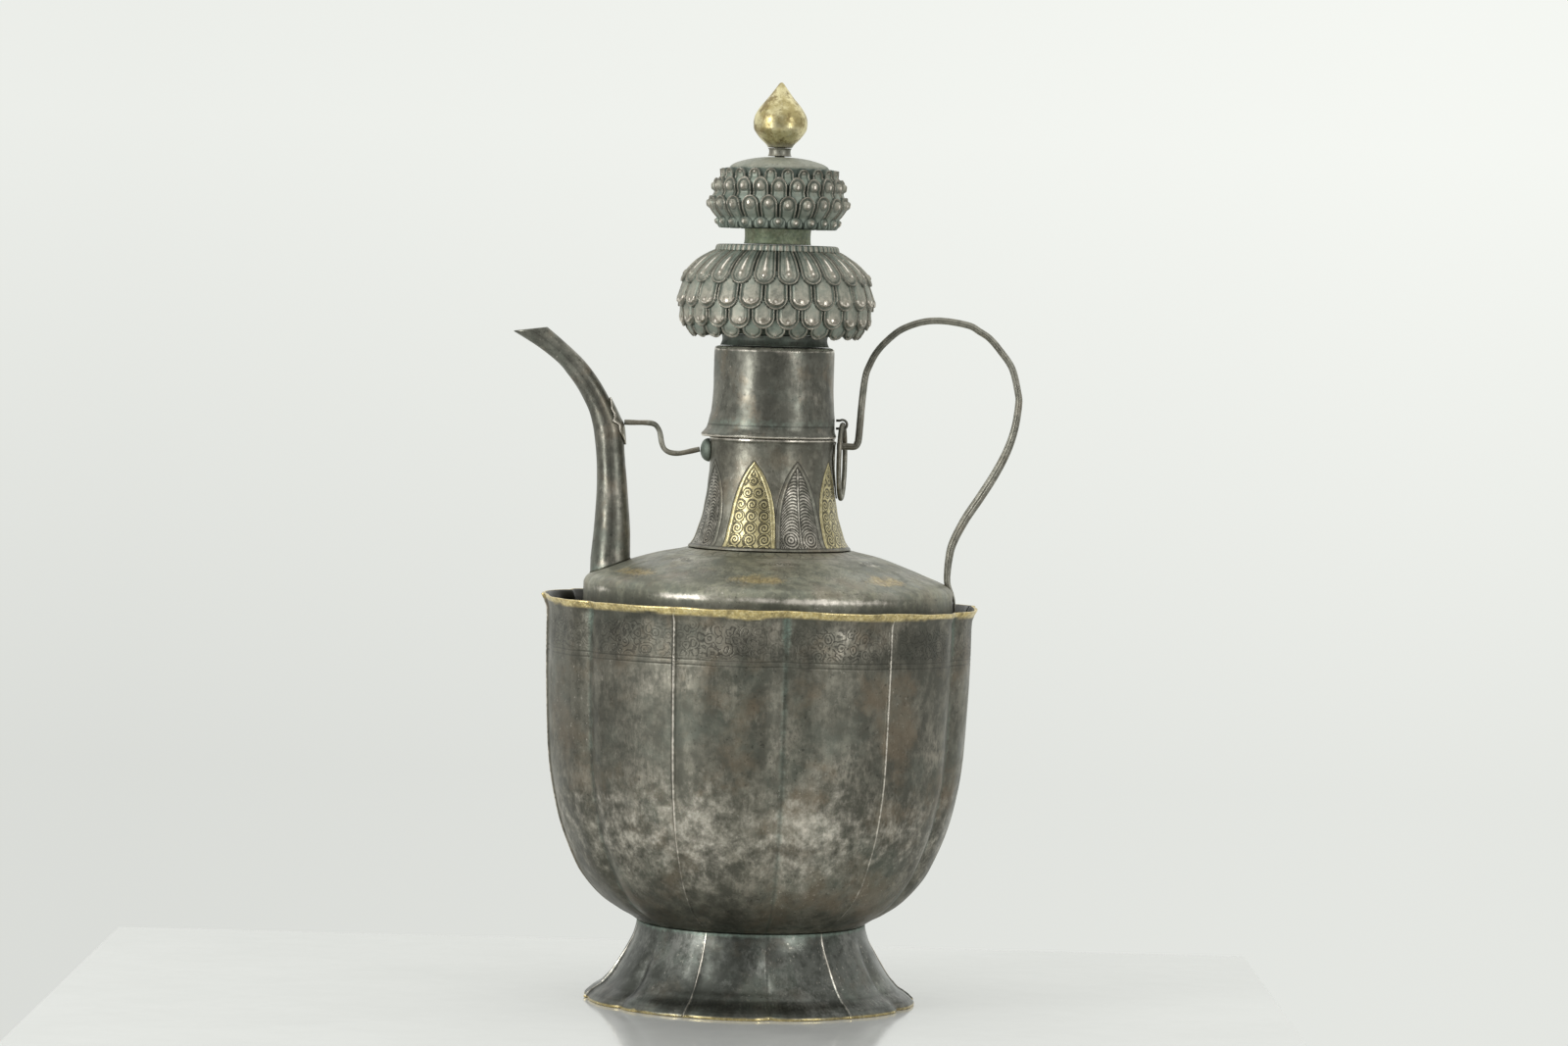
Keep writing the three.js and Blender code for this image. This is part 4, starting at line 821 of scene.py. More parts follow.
def bowl_worn(z, height, angle, from_groove):
    """Bright crests of the ridges and bright places on the belly: rubbed wear with painted highlights."""
    broken = 0.75 + 0.25 * ragged(z / MM * 40, 9, 3, 30)
    crest = bump_at(from_groove, 0.5, 0.0058) * broken * (0.6 + 0.5 * step_up(height, 0.1, 0.4))
    rubbed = 0.37 + 0.3 * spots_at(angle, RUBBED_AND_LIT_SIDES)
    return np.maximum(crest, rubbed * bump_at(z, RUBBED_AND_LIT_Z, RUBBED_AND_LIT_SPREAD))


def bowl_patina(z, from_groove):
    """Green in the grooves and under the rim."""
    near_rim = bump_at(z, BOWL_RIM - 5 * MM, 9 * MM)
    groove = bump_at(from_groove, 0, 0.03) * (0.5 + 0.3 * near_rim)
    return np.maximum(groove, 0.4 * near_rim * bump_at(from_groove, 0, 0.14))


def bowl_scroll(z):
    """The height of the band of scrolls."""
    low = BAND_LINE_Z + BAND_LINE_GAP
    above = step_up(z, BAND_TOP_Z - 2 * MM, BAND_TOP_Z + MM)
    return step_up(z, low + 0.3 * MM, low + 1.3 * MM) * (1 - above)


def bowl_shell():
    profile, outside_count = bowl_profile()
    outside = outer_rows(outside_count, len(profile))
    z = profile[:, 1:]
    height = (z - BOWL_BOTTOM) / (BOWL_RIM - BOWL_BOTTOM)
    weights = step_up(height, -0.02, 0.16) + 0.5 * step_up(height, 0.93, 1.0)
    lift = RIM_TIP_RISE * step_up(height, 0.975, 1.0)
    grid, angle, from_groove = lobed_grid(profile, weights, BOWL_AROUND, LOBE_DEPTH, RIDGE_HEIGHT, lift)
    grid = waver(grid, 3, 0.2 * MM, 60 * MM)
    grid[:, :, :2] *= BOWL_FIT
    lean = RIM_LEAN * np.cos(np.radians(angle - RIM_LEAN_ANGLE)) + RIM_RAGGED * ragged(angle, 11, 7, 40)
    grid[:, :, 2] += np.clip(height, 0, 1) ** 3 * (lean + spots_at(angle, RIM_WAVES))
    line = bowl_lines(z) * outside
    push_in(grid, np.radians(angle), BAND_LINE_DEPTH * line)

    gilt = bowl_gilt(z, angle) * outside
    # The inner wall below the gilding is painted dark as shade.
    inside = 0.95 * (1 - outside) * (1 - gilt)
    patch = bump_at(from_groove, 0.25, 0.16)
    # Painted highlights where the engraving catches the light, placed across each panel by patch.
    bright = np.clip(spots_at(angle, HIGHLIT_SCROLLS), 0, 1)
    scroll = bowl_scroll(z) * outside * (1 - gilt)
    worn = np.maximum(bowl_worn(z, height, angle, from_groove) * outside, 0.42 * scroll * bright * patch)
    # Painted shade on the darker sides and round the band's middle, away from the painted highlights.
    tarnish = spots_at(angle, SHADED_SIDES) * (1 - 0.6 * bump_at(z, 80 * MM, 22 * MM))
    tarnish = np.maximum(tarnish, 0.5 * bump_at(z, BAND_MIDDLE_Z, 9 * MM) * (1 - bright))
    # A painted shadow along each groove.
    shadow = 0.35 * bump_at(from_groove, 0, 0.008) * outside
    piece(
        "bowl_skin", "bowl_shell", "bowl", "dark_silver", BOWL_METAL, grid,
        line=np.maximum(np.maximum(line * 0.5, shadow), inside),
        gilt=gilt,
        worn=worn,
        patina=bowl_patina(z, from_groove) * (1 - gilt) * outside,
        scroll=np.clip(scroll * (0.32 + 0.55 * patch + 0.4 * bright), 0, 1),
        tarnish=np.maximum(tarnish * outside, inside),
    )


def foot_profile():
    """Outer wall, edge and inner wall of the foot; and how many of the rows are seen from outside."""
    outer = spline(sized(FOOT_SHARES, FOOT_RADIUS, 0, FOOT_TOP), FOOT_STEP)
    edge = np.array(FOOT_EDGE_SHARES) * [FOOT_RADIUS, FOOT_TOP]
    inner = (outer + FOOT_WALL * normals_2d(outer))[::-4]
    inner = inner[(inner[:, 1] > FOOT_INNER_LOW) & (inner[:, 0] < 0.965 * FOOT_RADIUS)]
    hole = inner[-1][0] - FOOT_LAP
    profile = np.vstack([outer, edge, inner, [(hole, FOOT_TOP - FOOT_WALL), (hole, FOOT_TOP)]])
    return profile, len(outer) + len(edge)


def bowl_foot():
    profile, outside_count = foot_profile()
    outside = outer_rows(outside_count, len(profile))
    weights = 1.15 * (1 - step_up(profile[:, 1:] / FOOT_TOP, 0.3, 1.0))
    grid, angle, from_groove = lobed_grid(profile, weights, FOOT_AROUND, FOOT_LOBE_DEPTH, FOOT_RIDGE_HEIGHT)
    grid = waver(grid, 5, 0.18 * MM, 30 * MM)
    grid[:, :, 2] = np.maximum(grid[:, :, 2], 0)
    z = grid[:, :, 2]
    level = 0.75 * MM + 0.5 * MM * ragged(angle, 13, 5, 90)
    # Painted highlights on the ridges and their flanks, strongest round the lit height, over a little real
    # wear on the crests.
    lit = bump_at(z, FOOT_LIT_Z, 9 * MM)
    crest = bump_at(from_groove, 0.5, 0.007) * (0.55 + 0.6 * lit)
    flank = 0.36 * bump_at(from_groove, 0.5, 0.04) * lit
    piece(
        "foot_skin", "bowl_foot", "bowl", "dark_silver", FOOT_METAL, grid, looped=True,
        line=0.45 * fret_line(angle, z) * outside,
        gilt=(1 - step_up(z, level - 0.3 * MM, level + 0.4 * MM)) * outside,
        worn=np.maximum(crest, flank) * outside,
        patina=0.7 * bump_at(z, FOOT_TOP, 2.2 * MM) * outside,
    )


FRET_COUNT = 132
FRET_LOW = 3.0 * MM
FRET_HIGH = 6.6 * MM


def fret_line(angle, z):
    """A plain key-fret band just above the foot's edge."""
    across = angle / 360 * FRET_COUNT % 1
    up = (z - FRET_LOW) / (FRET_HIGH - FRET_LOW)
    bars = np.maximum(bump_at(across, 0.12, 0.07), bump_at(across, 0.62, 0.07) * (up > 0.45))
    bars = np.maximum(bars, bump_at(up, 0.5, 0.12) * (across > 0.35) * (across < 0.65))
    edges = np.maximum(bump_at(up, 0, 0.1), bump_at(up, 1.05, 0.1))
    return np.maximum(bars * (up > 0) * (up < 1), edges)


# Pot: wall, shoulder and neck

POT_SHARES = [
    (0.47, 0), (0.6, 0.0132), (0.72, 0.0551), (0.83, 0.1289), (0.905, 0.2203), (0.955, 0.3029),
    (0.988, 0.391), (1, 0.4846), (1, 1),
]
POT_STEP = 3 * MM
POT_FLOOR_RADIUS = 5 * MM
NECK_FOOT_SHARE = 1.32
NECK_SHARES = [
    (NECK_FOOT_SHARE, 0), (1.305, 0.018), (1.27, 0.035), (1.216, 0.083), (1.153, 0.189), (1.097, 0.295),
    (1.066, 0.404), (1.035, 0.511), (1.019, 0.617), (1, 0.735), (1, 0.94), (1.012, 0.975), (1.012, 1),
]
# Share of the way from the top's edge, under the neck's foot, to the outer edge, and height share
SHOULDER_SHARES = [
    (0, 0.995), (0.0742, 0.9933), (0.1437, 0.9683), (0.3502, 0.9), (0.6218, 0.7633), (0.7805, 0.67),
    (0.9044, 0.5967), (0.9674, 0.54), (0.9957, 0.47), (1, 0.41), (1, 0.2), (1, 0),
]
SHOULDER_LAP = 2.8 * MM
SHOULDER_INNER = NECK_RADIUS * NECK_FOOT_SHARE - SHOULDER_LAP
SHOULDER_TILT = 0.012
SHOULDER_TILT_START = 38 * MM
SHOULDER_TILT_END = 66 * MM


def pot_wall():
    outer = spline(sized(POT_SHARES, POT_RADIUS, POT_BOTTOM, POT_WALL_TOP - POT_BOTTOM), POT_STEP)
    inner = (outer - POT_WALL * normals_2d(outer))[::-3]
    inner[0][1] = POT_WALL_TOP
    start = [(POT_FLOOR_RADIUS, POT_BOTTOM)]
    profile = np.vstack([start, outer, inner, [(POT_FLOOR_RADIUS, POT_BOTTOM + POT_WALL)]])
    grid = waver(turn_profile(profile, 240, POT_X), 12, 0.1 * MM, 60 * MM)
    piece("pot_wall", "pot_body", "pot", "silver", POT_METAL, grid)


def shoulder_profile():
    reach = SHOULDER_RADIUS - SHOULDER_INNER
    height = SHOULDER_TOP - SHOULDER_LOW
    return [(SHOULDER_INNER + r * reach, SHOULDER_LOW + z * height) for r, z in SHOULDER_SHARES]


def shoulder_tilt(x, radius):
    """The shoulder sits a little high on the spout's side."""
    return -SHOULDER_TILT * (x - POT_X) * step_up(radius, SHOULDER_TILT_START, SHOULDER_TILT_END)


# Petals and a ring line round the neck's foot
RING_RADIUS = 43.2 * MM
RING_WIDTH = 0.4 * MM
RING_PETALS = 44
RING_GAP = 1.2 * MM
RING_PETAL_LENGTH = 6.5 * MM
# Gilt sprays on the shoulder and pale curls between them
SPRAY_COUNT = 7
SPRAY_START = -4.6
SPRAY_RADIUS = 66.5 * MM
SPRAY_STEM = [(-14 * MM, -1.5 * MM), (-7 * MM, 1.5 * MM), (0, 0), (7 * MM, 2 * MM), (14 * MM, -1 * MM)]
SPRAY_LEAF = (1.6 * MM, 3.6 * MM)
SPRAY_LEAF_BEND = (-0.9 * MM, 0.5 * MM)
SPRAY_STEP = 1 * MM
CURL_START = 5
CURL_RADIUS = 50.5 * MM
# Each pair of curls: place across and outwards, and size
CURL_PAIRS = [(2.6 * MM, 0, 2.3 * MM), (6.6 * MM, 0.6 * MM, 1.6 * MM)]
SHOULDER_CUT = 0.13 * MM
SHOULDER_AROUND = 1280
SHOULDER_STEP = 0.5 * MM
SHOULDER_DRAW_IN = 0.6 * MM
SHOULDER_SHADE_LOW = 169.5 * MM
SHOULDER_SHADE_HIGH = 174.5 * MM
# Painted highlights along the rounded edge: angle, spread and strength
EDGE_HIGHLIGHT_Z = 172.3 * MM
EDGE_HIGHLIGHT_WIDTH = 1.5 * MM
EDGE_HIGHLIGHT_SPOTS = [
    (-27, 8, 0.95), (0, 11, 0.7), (16, 8, 0.9), (33, 8, 0.7), (-62, 6, 0.5), (105, 20, 0.6), (200, 30, 0.5),
]


def ring_petal_strokes():
    """Short petals round the neck's foot."""
    strokes = []
    t = np.linspace(-1, 1, 14)
    reach = RING_RADIUS - RING_GAP - RING_PETAL_LENGTH * np.abs(t) ** 2.2
    for angle in turns(RING_PETALS):
        turn = angle + t * math.pi / RING_PETALS
        strokes.append(np.column_stack([reach * np.sin(turn), -reach * np.cos(turn)]))
    return strokes


def laid_out(flat, start, radius):
    """Strokes drawn across and outwards, laid down at even steps round the shoulder."""
    strokes = []
    for angle in math.radians(start) + turns(SPRAY_COUNT):
        across = np.array([math.cos(angle), math.sin(angle)])
        outward = np.array([math.sin(angle), -math.cos(angle)])
        strokes += [radius * outward + line[:, :1] * across + line[:, 1:] * outward for line in flat]
    return strokes


def spray_strokes():
    """A generic spray: a bent stem with paired leaves."""
    stem = spline(SPRAY_STEM, SPRAY_STEP)
    flat = [stem]
    for k in range(2, len(stem) - 2, 3):
        for side in (-1, 1):
            tip = stem[k] + np.array(SPRAY_LEAF) * (1, side)
            bend = (stem[k] + tip) / 2 + np.array(SPRAY_LEAF_BEND) * (1, side)
            flat.append(spline([stem[k], bend, tip], SPRAY_STEP))
    return flat


def curl_strokes():
    flat = []
    for side in (-1, 1):
        for x, y, size in CURL_PAIRS:
            flat.append(spiral((x, y), size, 1.6, math.pi, 30) * (side, 1))
    return flat


def near_spots(angle, radius, start, centre_radius, reach, depth):
    """1 at evenly spaced spots round the shoulder, fading out over a reach along and a depth across."""
    total = 0
    for turn in math.radians(start) + turns(SPRAY_COUNT):
        away = (angle - turn + math.pi) % (2 * math.pi) - math.pi
        total = total + np.exp(-((away * centre_radius / reach) ** 4))
    return total * np.exp(-(((radius - centre_radius) / depth) ** 4))


def shoulder_walls():
    """Rows of the shoulder's outer face, then of its inner face."""
    outer = spline(shoulder_profile(), SHOULDER_STEP)
    inner = outer[::-5] - [SHOULDER_DRAW_IN, POT_WALL]
    inner[0] = (SHOULDER_RADIUS - POT_WALL, SHOULDER_LOW)
    inner[:, 0] = np.minimum(inner[:, 0], SHOULDER_RADIUS - POT_WALL)
    inner[:, 1] = np.maximum(inner[:, 1], SHOULDER_LOW)
    inner[-1][0] = outer[0][0]
    return outer, inner


def pot_shoulder():
    outer, inner = shoulder_walls()
    profile = np.vstack([outer, inner])
    grid = waver(turn_profile(profile, SHOULDER_AROUND, POT_X), 21, 0.13 * MM, 30 * MM)
    shape = grid.shape[:2]
    angle = turns(SHOULDER_AROUND)
    radius = profile[:, :1]
    z = profile[:, 1:]
    grid[:, :, 2] += shoulder_tilt(grid[:, :, 0], radius)
    outside = outer_rows(len(outer), len(profile))
    top_face = outside * (z > SHOULDER_LOW + 0.58 * (SHOULDER_TOP - SHOULDER_LOW))

    flat = np.column_stack([(radius * np.sin(angle)).ravel(), (-radius * np.cos(angle)).ravel()])
    petals = drawn(flat, ring_petal_strokes(), 0.42 * MM).reshape(shape) * top_face
    spray = laid_out(spray_strokes(), SPRAY_START, SPRAY_RADIUS)
    spray = drawn(flat, spray, 0.55 * MM).reshape(shape) * top_face
    curls = laid_out(curl_strokes(), CURL_START, CURL_RADIUS)
    curls = drawn(flat, curls, 0.5 * MM).reshape(shape) * top_face
    ring = bump_at(radius, RING_RADIUS, RING_WIDTH) * top_face
    engraved = np.maximum(np.maximum(0.75 * petals, ring), 0.7 * curls)
    grid[:, :, 2] -= SHOULDER_CUT * np.maximum(engraved, spray)

    speck = np.random.default_rng(4).normal(size=shape) * 0.16
    gilt_spots = near_spots(angle, radius, SPRAY_START, SPRAY_RADIUS, 13 * MM, 5.5 * MM)
    cloud = ragged(np.degrees(angle), 17, 8, 60) + 0.5 * np.sin(radius / (1.3 * MM))
    gold = step_up(0.85 * gilt_spots + 0.35 * cloud + speck, 0.5, 0.95) * 0.75 * top_face
    pale_spots = near_spots(angle, radius, CURL_START, CURL_RADIUS, 8 * MM, 3.2 * MM)
    # Painted highlights along the rounded edge, strongest where the lights catch it.
    edge = bump_at(z, EDGE_HIGHLIGHT_Z, EDGE_HIGHLIGHT_WIDTH) * outside
    edge_highlight = 0.22 + spots_at(np.degrees(angle), EDGE_HIGHLIGHT_SPOTS) + 0.2 * ragged(np.degrees(angle), 23, 3, 60)
    # Painted shade on the side wall under the edge, left out along the painted highlights.
    wall = (1 - step_up(z, SHOULDER_SHADE_LOW, SHOULDER_SHADE_HIGH)) * outside
    worn = np.maximum(0.85 * edge * edge_highlight, 0.5 * pale_spots * (1 - curls) * top_face)
    piece(
        "shoulder_skin", "pot_shoulder", "pot", "silver", POT_METAL, grid, looped=True,
        line=np.maximum(0.7 * engraved, 0.3 * spray),
        gilt=gold,
        worn=np.maximum(worn, 0.35 * spray),
        patina=0.3 * bump_at(radius, 36 * MM, 4 * MM) * outside,
        scroll=0.4 * bump_at(radius, 60 * MM, 9 * MM) * (1 - np.clip(gilt_spots, 0, 1)) * top_face,
        tarnish=0.85 * wall * (1 - np.clip(edge_highlight, 0, 1) * edge),
    )


# Leaves round the neck: centre in degrees and whether the leaf is gilt
NECK_LEAVES = [
    (-15.9, True), (24.9, False), (66.5, True), (111, False), (157, True), (203, False), (249, True),
    (295, False),
]
LEAF_HALF_ANGLE = 20.8
LEAF_SECTOR = 22.5
LEAF_BORDER = 2.1 * MM
LEAF_LINE = 0.3 * MM
LEAF_INNER_LINE = 0.26 * MM
# Height share and share of the half width, from the foot to the tip
LEAF_SHARES = [
    (0, 1), (0.24, 0.99), (0.4, 0.95), (0.52, 0.89), (0.63, 0.79), (0.734, 0.65), (0.81, 0.52),
    (0.876, 0.37), (0.94, 0.19), (1, 0),
]
TIP_SHARE = 0.885
TIP_SIZE = 2.0 * MM
TIP_LINE = 0.4 * MM
NECK_AROUND = 840
NECK_STEP = 0.24 * MM
NECK_BORE = 24.0 * MM
NECK_BORE_LOW = 228 * MM
NECK_CUT = 0.15 * MM
NECK_SWELL = 0.12 * MM


def leaf_tip_stroke():
    """A small triangle under a gilt leaf's tip."""
    top = LEAF_LOW + TIP_SHARE * (LEAF_HIGH - LEAF_LOW)
    half = TIP_SIZE / 2
    return np.array([(-half, top - TIP_SIZE), (0, top), (half, top - TIP_SIZE), (-half, top - TIP_SIZE)])


def neck_marks(shape, angle, radius, z):
    """The leaves' lines, gilding, wear, swelling, places across them and fields."""
    line, gilt, worn, swell, across, leaf = np.zeros((6, *shape))
    share = (z - LEAF_LOW) / (LEAF_HIGH - LEAF_LOW)
    tall = (share > 0) & (share < 1)
    half = math.radians(LEAF_HALF_ANGLE) * np.interp(share, *np.array(LEAF_SHARES).T)
    for centre, golden in NECK_LEAVES:
        away = np.radians((angle - centre + 180) % 360 - 180)
        side = away * radius
        gap = (half - np.abs(away)) * radius
        rim = np.maximum(bump_at(gap, 0, LEAF_LINE), bump_at(gap, LEAF_BORDER, LEAF_INNER_LINE)) * tall
        line = np.maximum(line, rim)
        across = np.where(np.abs(away) < math.radians(LEAF_SECTOR), side, across)
        field = step_up(gap, LEAF_BORDER, LEAF_BORDER + LEAF_LINE) * tall
        leaf = np.maximum(leaf, field)
        border = bump_at(gap, LEAF_BORDER / 2, LEAF_BORDER * 0.4) * tall
        swell = np.maximum(swell, border)
        if golden:
            gilt = np.maximum(gilt, step_up(gap, 0, LEAF_LINE) * tall)
            worn = np.maximum(worn, 0.35 * border)
            picked = (gap > LEAF_BORDER) & tall
            points = np.column_stack([side[picked], np.broadcast_to(z, shape)[picked]])
            line[picked] = np.maximum(line[picked], drawn(points, [leaf_tip_stroke()], TIP_LINE))
        else:
            worn = np.maximum(worn, np.maximum(0.5 * field, 0.3 * border))
    return line, gilt, worn, swell, across, leaf


def neck_skin():
    outer = spline(sized(NECK_SHARES, NECK_RADIUS, NECK_BASE, NECK_TOP - NECK_BASE), NECK_STEP)
    inner = outer[::-6] - [POT_WALL, 0]
    inner[0] = (NECK_BORE, NECK_TOP)
    inner[:, 0] = np.where(inner[:, 1] > NECK_BORE_LOW, NECK_BORE, inner[:, 0])
    profile = np.vstack([outer, inner])
    grid = turn_profile(profile, NECK_AROUND, POT_X)
    outside = outer_rows(len(outer), len(profile))
    angle = np.degrees(turns(NECK_AROUND))
    z = profile[:, 1:]
    line, gilt, worn, swell, across, leaf = neck_marks(grid.shape[:2], angle, profile[:, :1], z)
    line = np.maximum(line, 0.8 * bump_at(z, LEAF_LOW, 0.25 * MM)) * outside
    push_in(grid, np.radians(angle), NECK_CUT * line - NECK_SWELL * swell * outside)
    grid = waver(grid, 31, 0.05 * MM, 25 * MM)
    piece(
        "neck_skin", "neck", "pot", "silver", NECK_METAL, grid, looped=True,
        line=line,
        gilt=gilt * outside,
        # A painted highlight along the neck's top lip.
        worn=np.maximum(worn, 0.9 * bump_at(z, NECK_TOP - 0.4 * MM, 0.4 * MM)) * outside,
        patina=0.35 * bump_at(z, NECK_TOP - 3 * MM, 2.5 * MM),
        tarnish=0.4 * step_up(z, LEAF_HIGH, NECK_TOP - 4 * MM) * outside,
        across=across,
        leaf=leaf * outside,
    )


# Lid

# Share of the cap's radius, height share and share of the skew
CAP_SHARES = [
    (0.93, 1, 0), (0.972, 0.993, 0), (0.992, 0.978, 0), (1, 0.95, 0), (1, 0.72, 0), (1, 0.513, 0),
    (1.024, 0.302, 0), (1.044, 0.222, 0.1), (1.066, 0.116, 0.4), (1.09, 0.07, 0.7), (1.12, 0.04, 0.95),
    (1.131, 0.02, 1), (1.118, 0, 1),
]
CAP_SKEW = -1.4 * MM
CAP_STEP = 0.5 * MM
CAP_INNER_LOW = 0.6 * MM
CAP_FOOT_BORE = 20 * MM
CAP_TOP_BORE = 6 * MM
# How far under the top the painted highlight round the cap's top edge lies
CAP_SHINE_UNDER = 0.9 * MM
CAP_LINE_UP = 5.0 * MM


def lid_cap():
    height = CAP_TOP - CAP_FOOT
    outer = spline([(r * CAP_RADIUS, CAP_FOOT + z * height, s) for r, z, s in CAP_SHARES], CAP_STEP)
    inner = outer[::-5] - [CAP_WALL, 0, 0]
    inner[:, 1] = np.minimum(inner[:, 1], CAP_TOP - CAP_WALL)
    inner = inner[inner[:, 1] > CAP_FOOT + CAP_INNER_LOW]
    inner[-1][0] = CAP_FOOT_BORE
    start = [(CAP_TOP_BORE, CAP_TOP, 0)]
    profile = np.vstack([start, outer, inner, [(CAP_TOP_BORE, CAP_TOP - CAP_WALL, 0)]])
    grid = turn_profile(profile, 360, POT_X)
    grid[:, :, 0] += CAP_SKEW * profile[:, 2:]
    grid = waver(grid, 41, 0.12 * MM, 24 * MM)
    grid[:, :, 2] = np.minimum(grid[:, :, 2], CAP_TOP)
    z = grid[:, :, 2]
    # Painted highlights along the cap's lip and under its top edge.
    lip = 1.2 * bump_at(z, CAP_FOOT + 0.35 * MM, 0.5 * MM)
    piece(
        "cap_skin", "lid_cap", "lid", "silver", CAP_METAL, grid,
        worn=lip + 0.9 * bump_at(z, CAP_TOP - CAP_SHINE_UNDER, 1.1 * MM),
        patina=0.5 * bump_at(z, CAP_FOOT + 6 * MM, 3.5 * MM),
        line=0.6 * bump_at(z, CAP_FOOT + CAP_LINE_UP, 0.35 * MM),
    )


def node_size(node):
    """A turned node's radius, foot and height, as sized takes them."""
    return half_width(node), low_z(node), top_z(node) - low_z(node)


# Petal rows, the one on top first: height share of the tip, length in millimetres, width share,
# sideways step and kind
LOWER_ROWS = [
    (0.5467, 23.0, 0.97, 0.5, "long"),
    (0.2853, 16.0, 0.97, 0.0, "shield"),
    (0.0907, 13.0, 0.97, 0.5, "shield"),
    (0.0027, 8.0, 0.9, 0.0, "plain"),
]
UPPER_ROWS = [
    (0.1918, 7.5, 0.9, 0.0, "bead"),
    (0.5184, 11.0, 0.95, 0.5, "knob"),
    (0.8041, 10.5, 0.95, 0.0, "knob"),
    (1.0041, 8.0, 0.8, 0.5, "plain"),
]
PETAL_LIFT = 1.9
PETAL_STRAY = 0.25 * MM


def petal_form(kind, e, s, d, share, vary):
    """Height in millimetres, brightness and dark lines of one petal. The brightness is worn borders with
    painted glints, streaks and highlights, and the dark lines are painted shade in its creases.
    e is the way in from its edge, s the way across from its middle line, d the way from its tip,
    share the way from root to tip and vary two numbers of -1 to 1 for each petal."""
    form = PETAL_LIFT * (0.15 + 0.85 * share) * step_up(e, 0, 0.4)
    form = form + 0.5 * bump_at(e, 0.5, 0.33) - 0.55 * bump_at(e, 1.15, 0.3)
    shine = 0.68 * bump_at(e, 0.55, 0.28)
    line = 0.7 * bump_at(e, 1.2, 0.26) + 1.1 * bump_at(e, 0.0, 0.32)
    across = np.abs(s)
    if kind == "long":
        half = 0.75 + 0.75 * step_up(-d, -14, -3)
        tongue = step_up(half - across, 0, 0.7) * step_up(d, 2.0, 3.6)
        boss = np.hypot(s, d - 3.7)
        knob = step_up(1.9 - boss, 0, 1.3)
        form = form + 0.3 * bump_at(e, 1.75, 0.3) + np.maximum(0.65 * tongue, 1.05 * knob)
        # Painted highlights: a streak down the tongue and a glint on the knob.
        streak = bump_at(s, 0.25 * vary[0], 0.5) * step_up(d, 4.8, 6.0) * (1 - step_up(d, 10, 17))
        glint = bump_at(np.hypot(s - 0.6 * vary[0], d - 3.5 - 0.5 * vary[1]), 0, 0.6)
        shine = np.maximum(shine, np.maximum(1.15 * streak, 1.3 * glint))
        shine = np.maximum(shine, np.maximum(0.42 * tongue, 0.46 * step_up(1.7 - boss, 0, 1.1)))
        line = np.maximum(line, 0.5 * bump_at(across - half, 0.25, 0.2) * step_up(d, 3.6, 5))
        # A painted shadow under the knob.
        line = np.maximum(line, 0.6 * bump_at(boss, 2.0, 0.22) * (d < 4.2))
    elif kind == "shield":
        field = step_up(e, 1.25, 2.5)
        low = np.hypot(s * 0.8, d - 3.4)
        # A pale crescent low in the field and a glint, both painted highlights.
        cup = bump_at(np.hypot(s * 0.75, d - 4.6), 2.3, 0.5) * step_up(4.8 - d, 0, 0.8)
        form = form + 0.85 * field * (0.6 + 0.4 * bump_at(d, 3.8, 2.5))
        form = form + 0.3 * step_up(1.7 - low, 0, 1.2) + 0.25 * cup
        glint = bump_at(np.hypot(s - 0.9 * vary[0], d - 3.4 - 0.5 * vary[1]), 0, 0.65)
        shine = np.maximum(shine, np.maximum(0.85 * cup, 1.3 * glint))
        shine = np.maximum(shine, np.maximum(0.27 * field, 0.5 * step_up(2.0 - low, 0, 1.5)))
    elif kind in ("knob", "bead"):
        middle, ring = (2.9, 2.0) if kind == "knob" else (2.2, 2.05)
        boss = np.hypot(s, d - middle)
        knob = step_up(1.8 - boss, 0, 1.3)
        if kind == "knob":
            form = form + 0.25 * step_up(e, 1.2, 1.9) + 1.15 * knob
            line = np.maximum(line, 0.75 * bump_at(boss, ring, 0.25))
        else:
            form = 0.4 * PETAL_LIFT * step_up(e, 0, 0.4) + 1.35 * knob
            shine = 0 * boss
            line = np.maximum(1.1 * bump_at(e, 0, 0.3), 0.9 * bump_at(boss, ring, 0.3))
        # A painted glint on the upper left of the boss.
        glint = bump_at(np.hypot(s + 0.25 + 0.3 * vary[0], d - middle - 0.3 - 0.3 * vary[1]), 0, 0.6)
        shine = np.maximum(shine, np.maximum(0.42 * step_up(1.5 - boss, 0, 1.0), 1.3 * glint))
    else:
        boss = np.hypot(s, d - 1.7)
        form = form + 0.5 * step_up(1.2 - boss, 0, 0.9)
        shine = np.maximum(shine, 0.55 * step_up(1.2 - boss, 0, 0.9))
    return form, shine, line


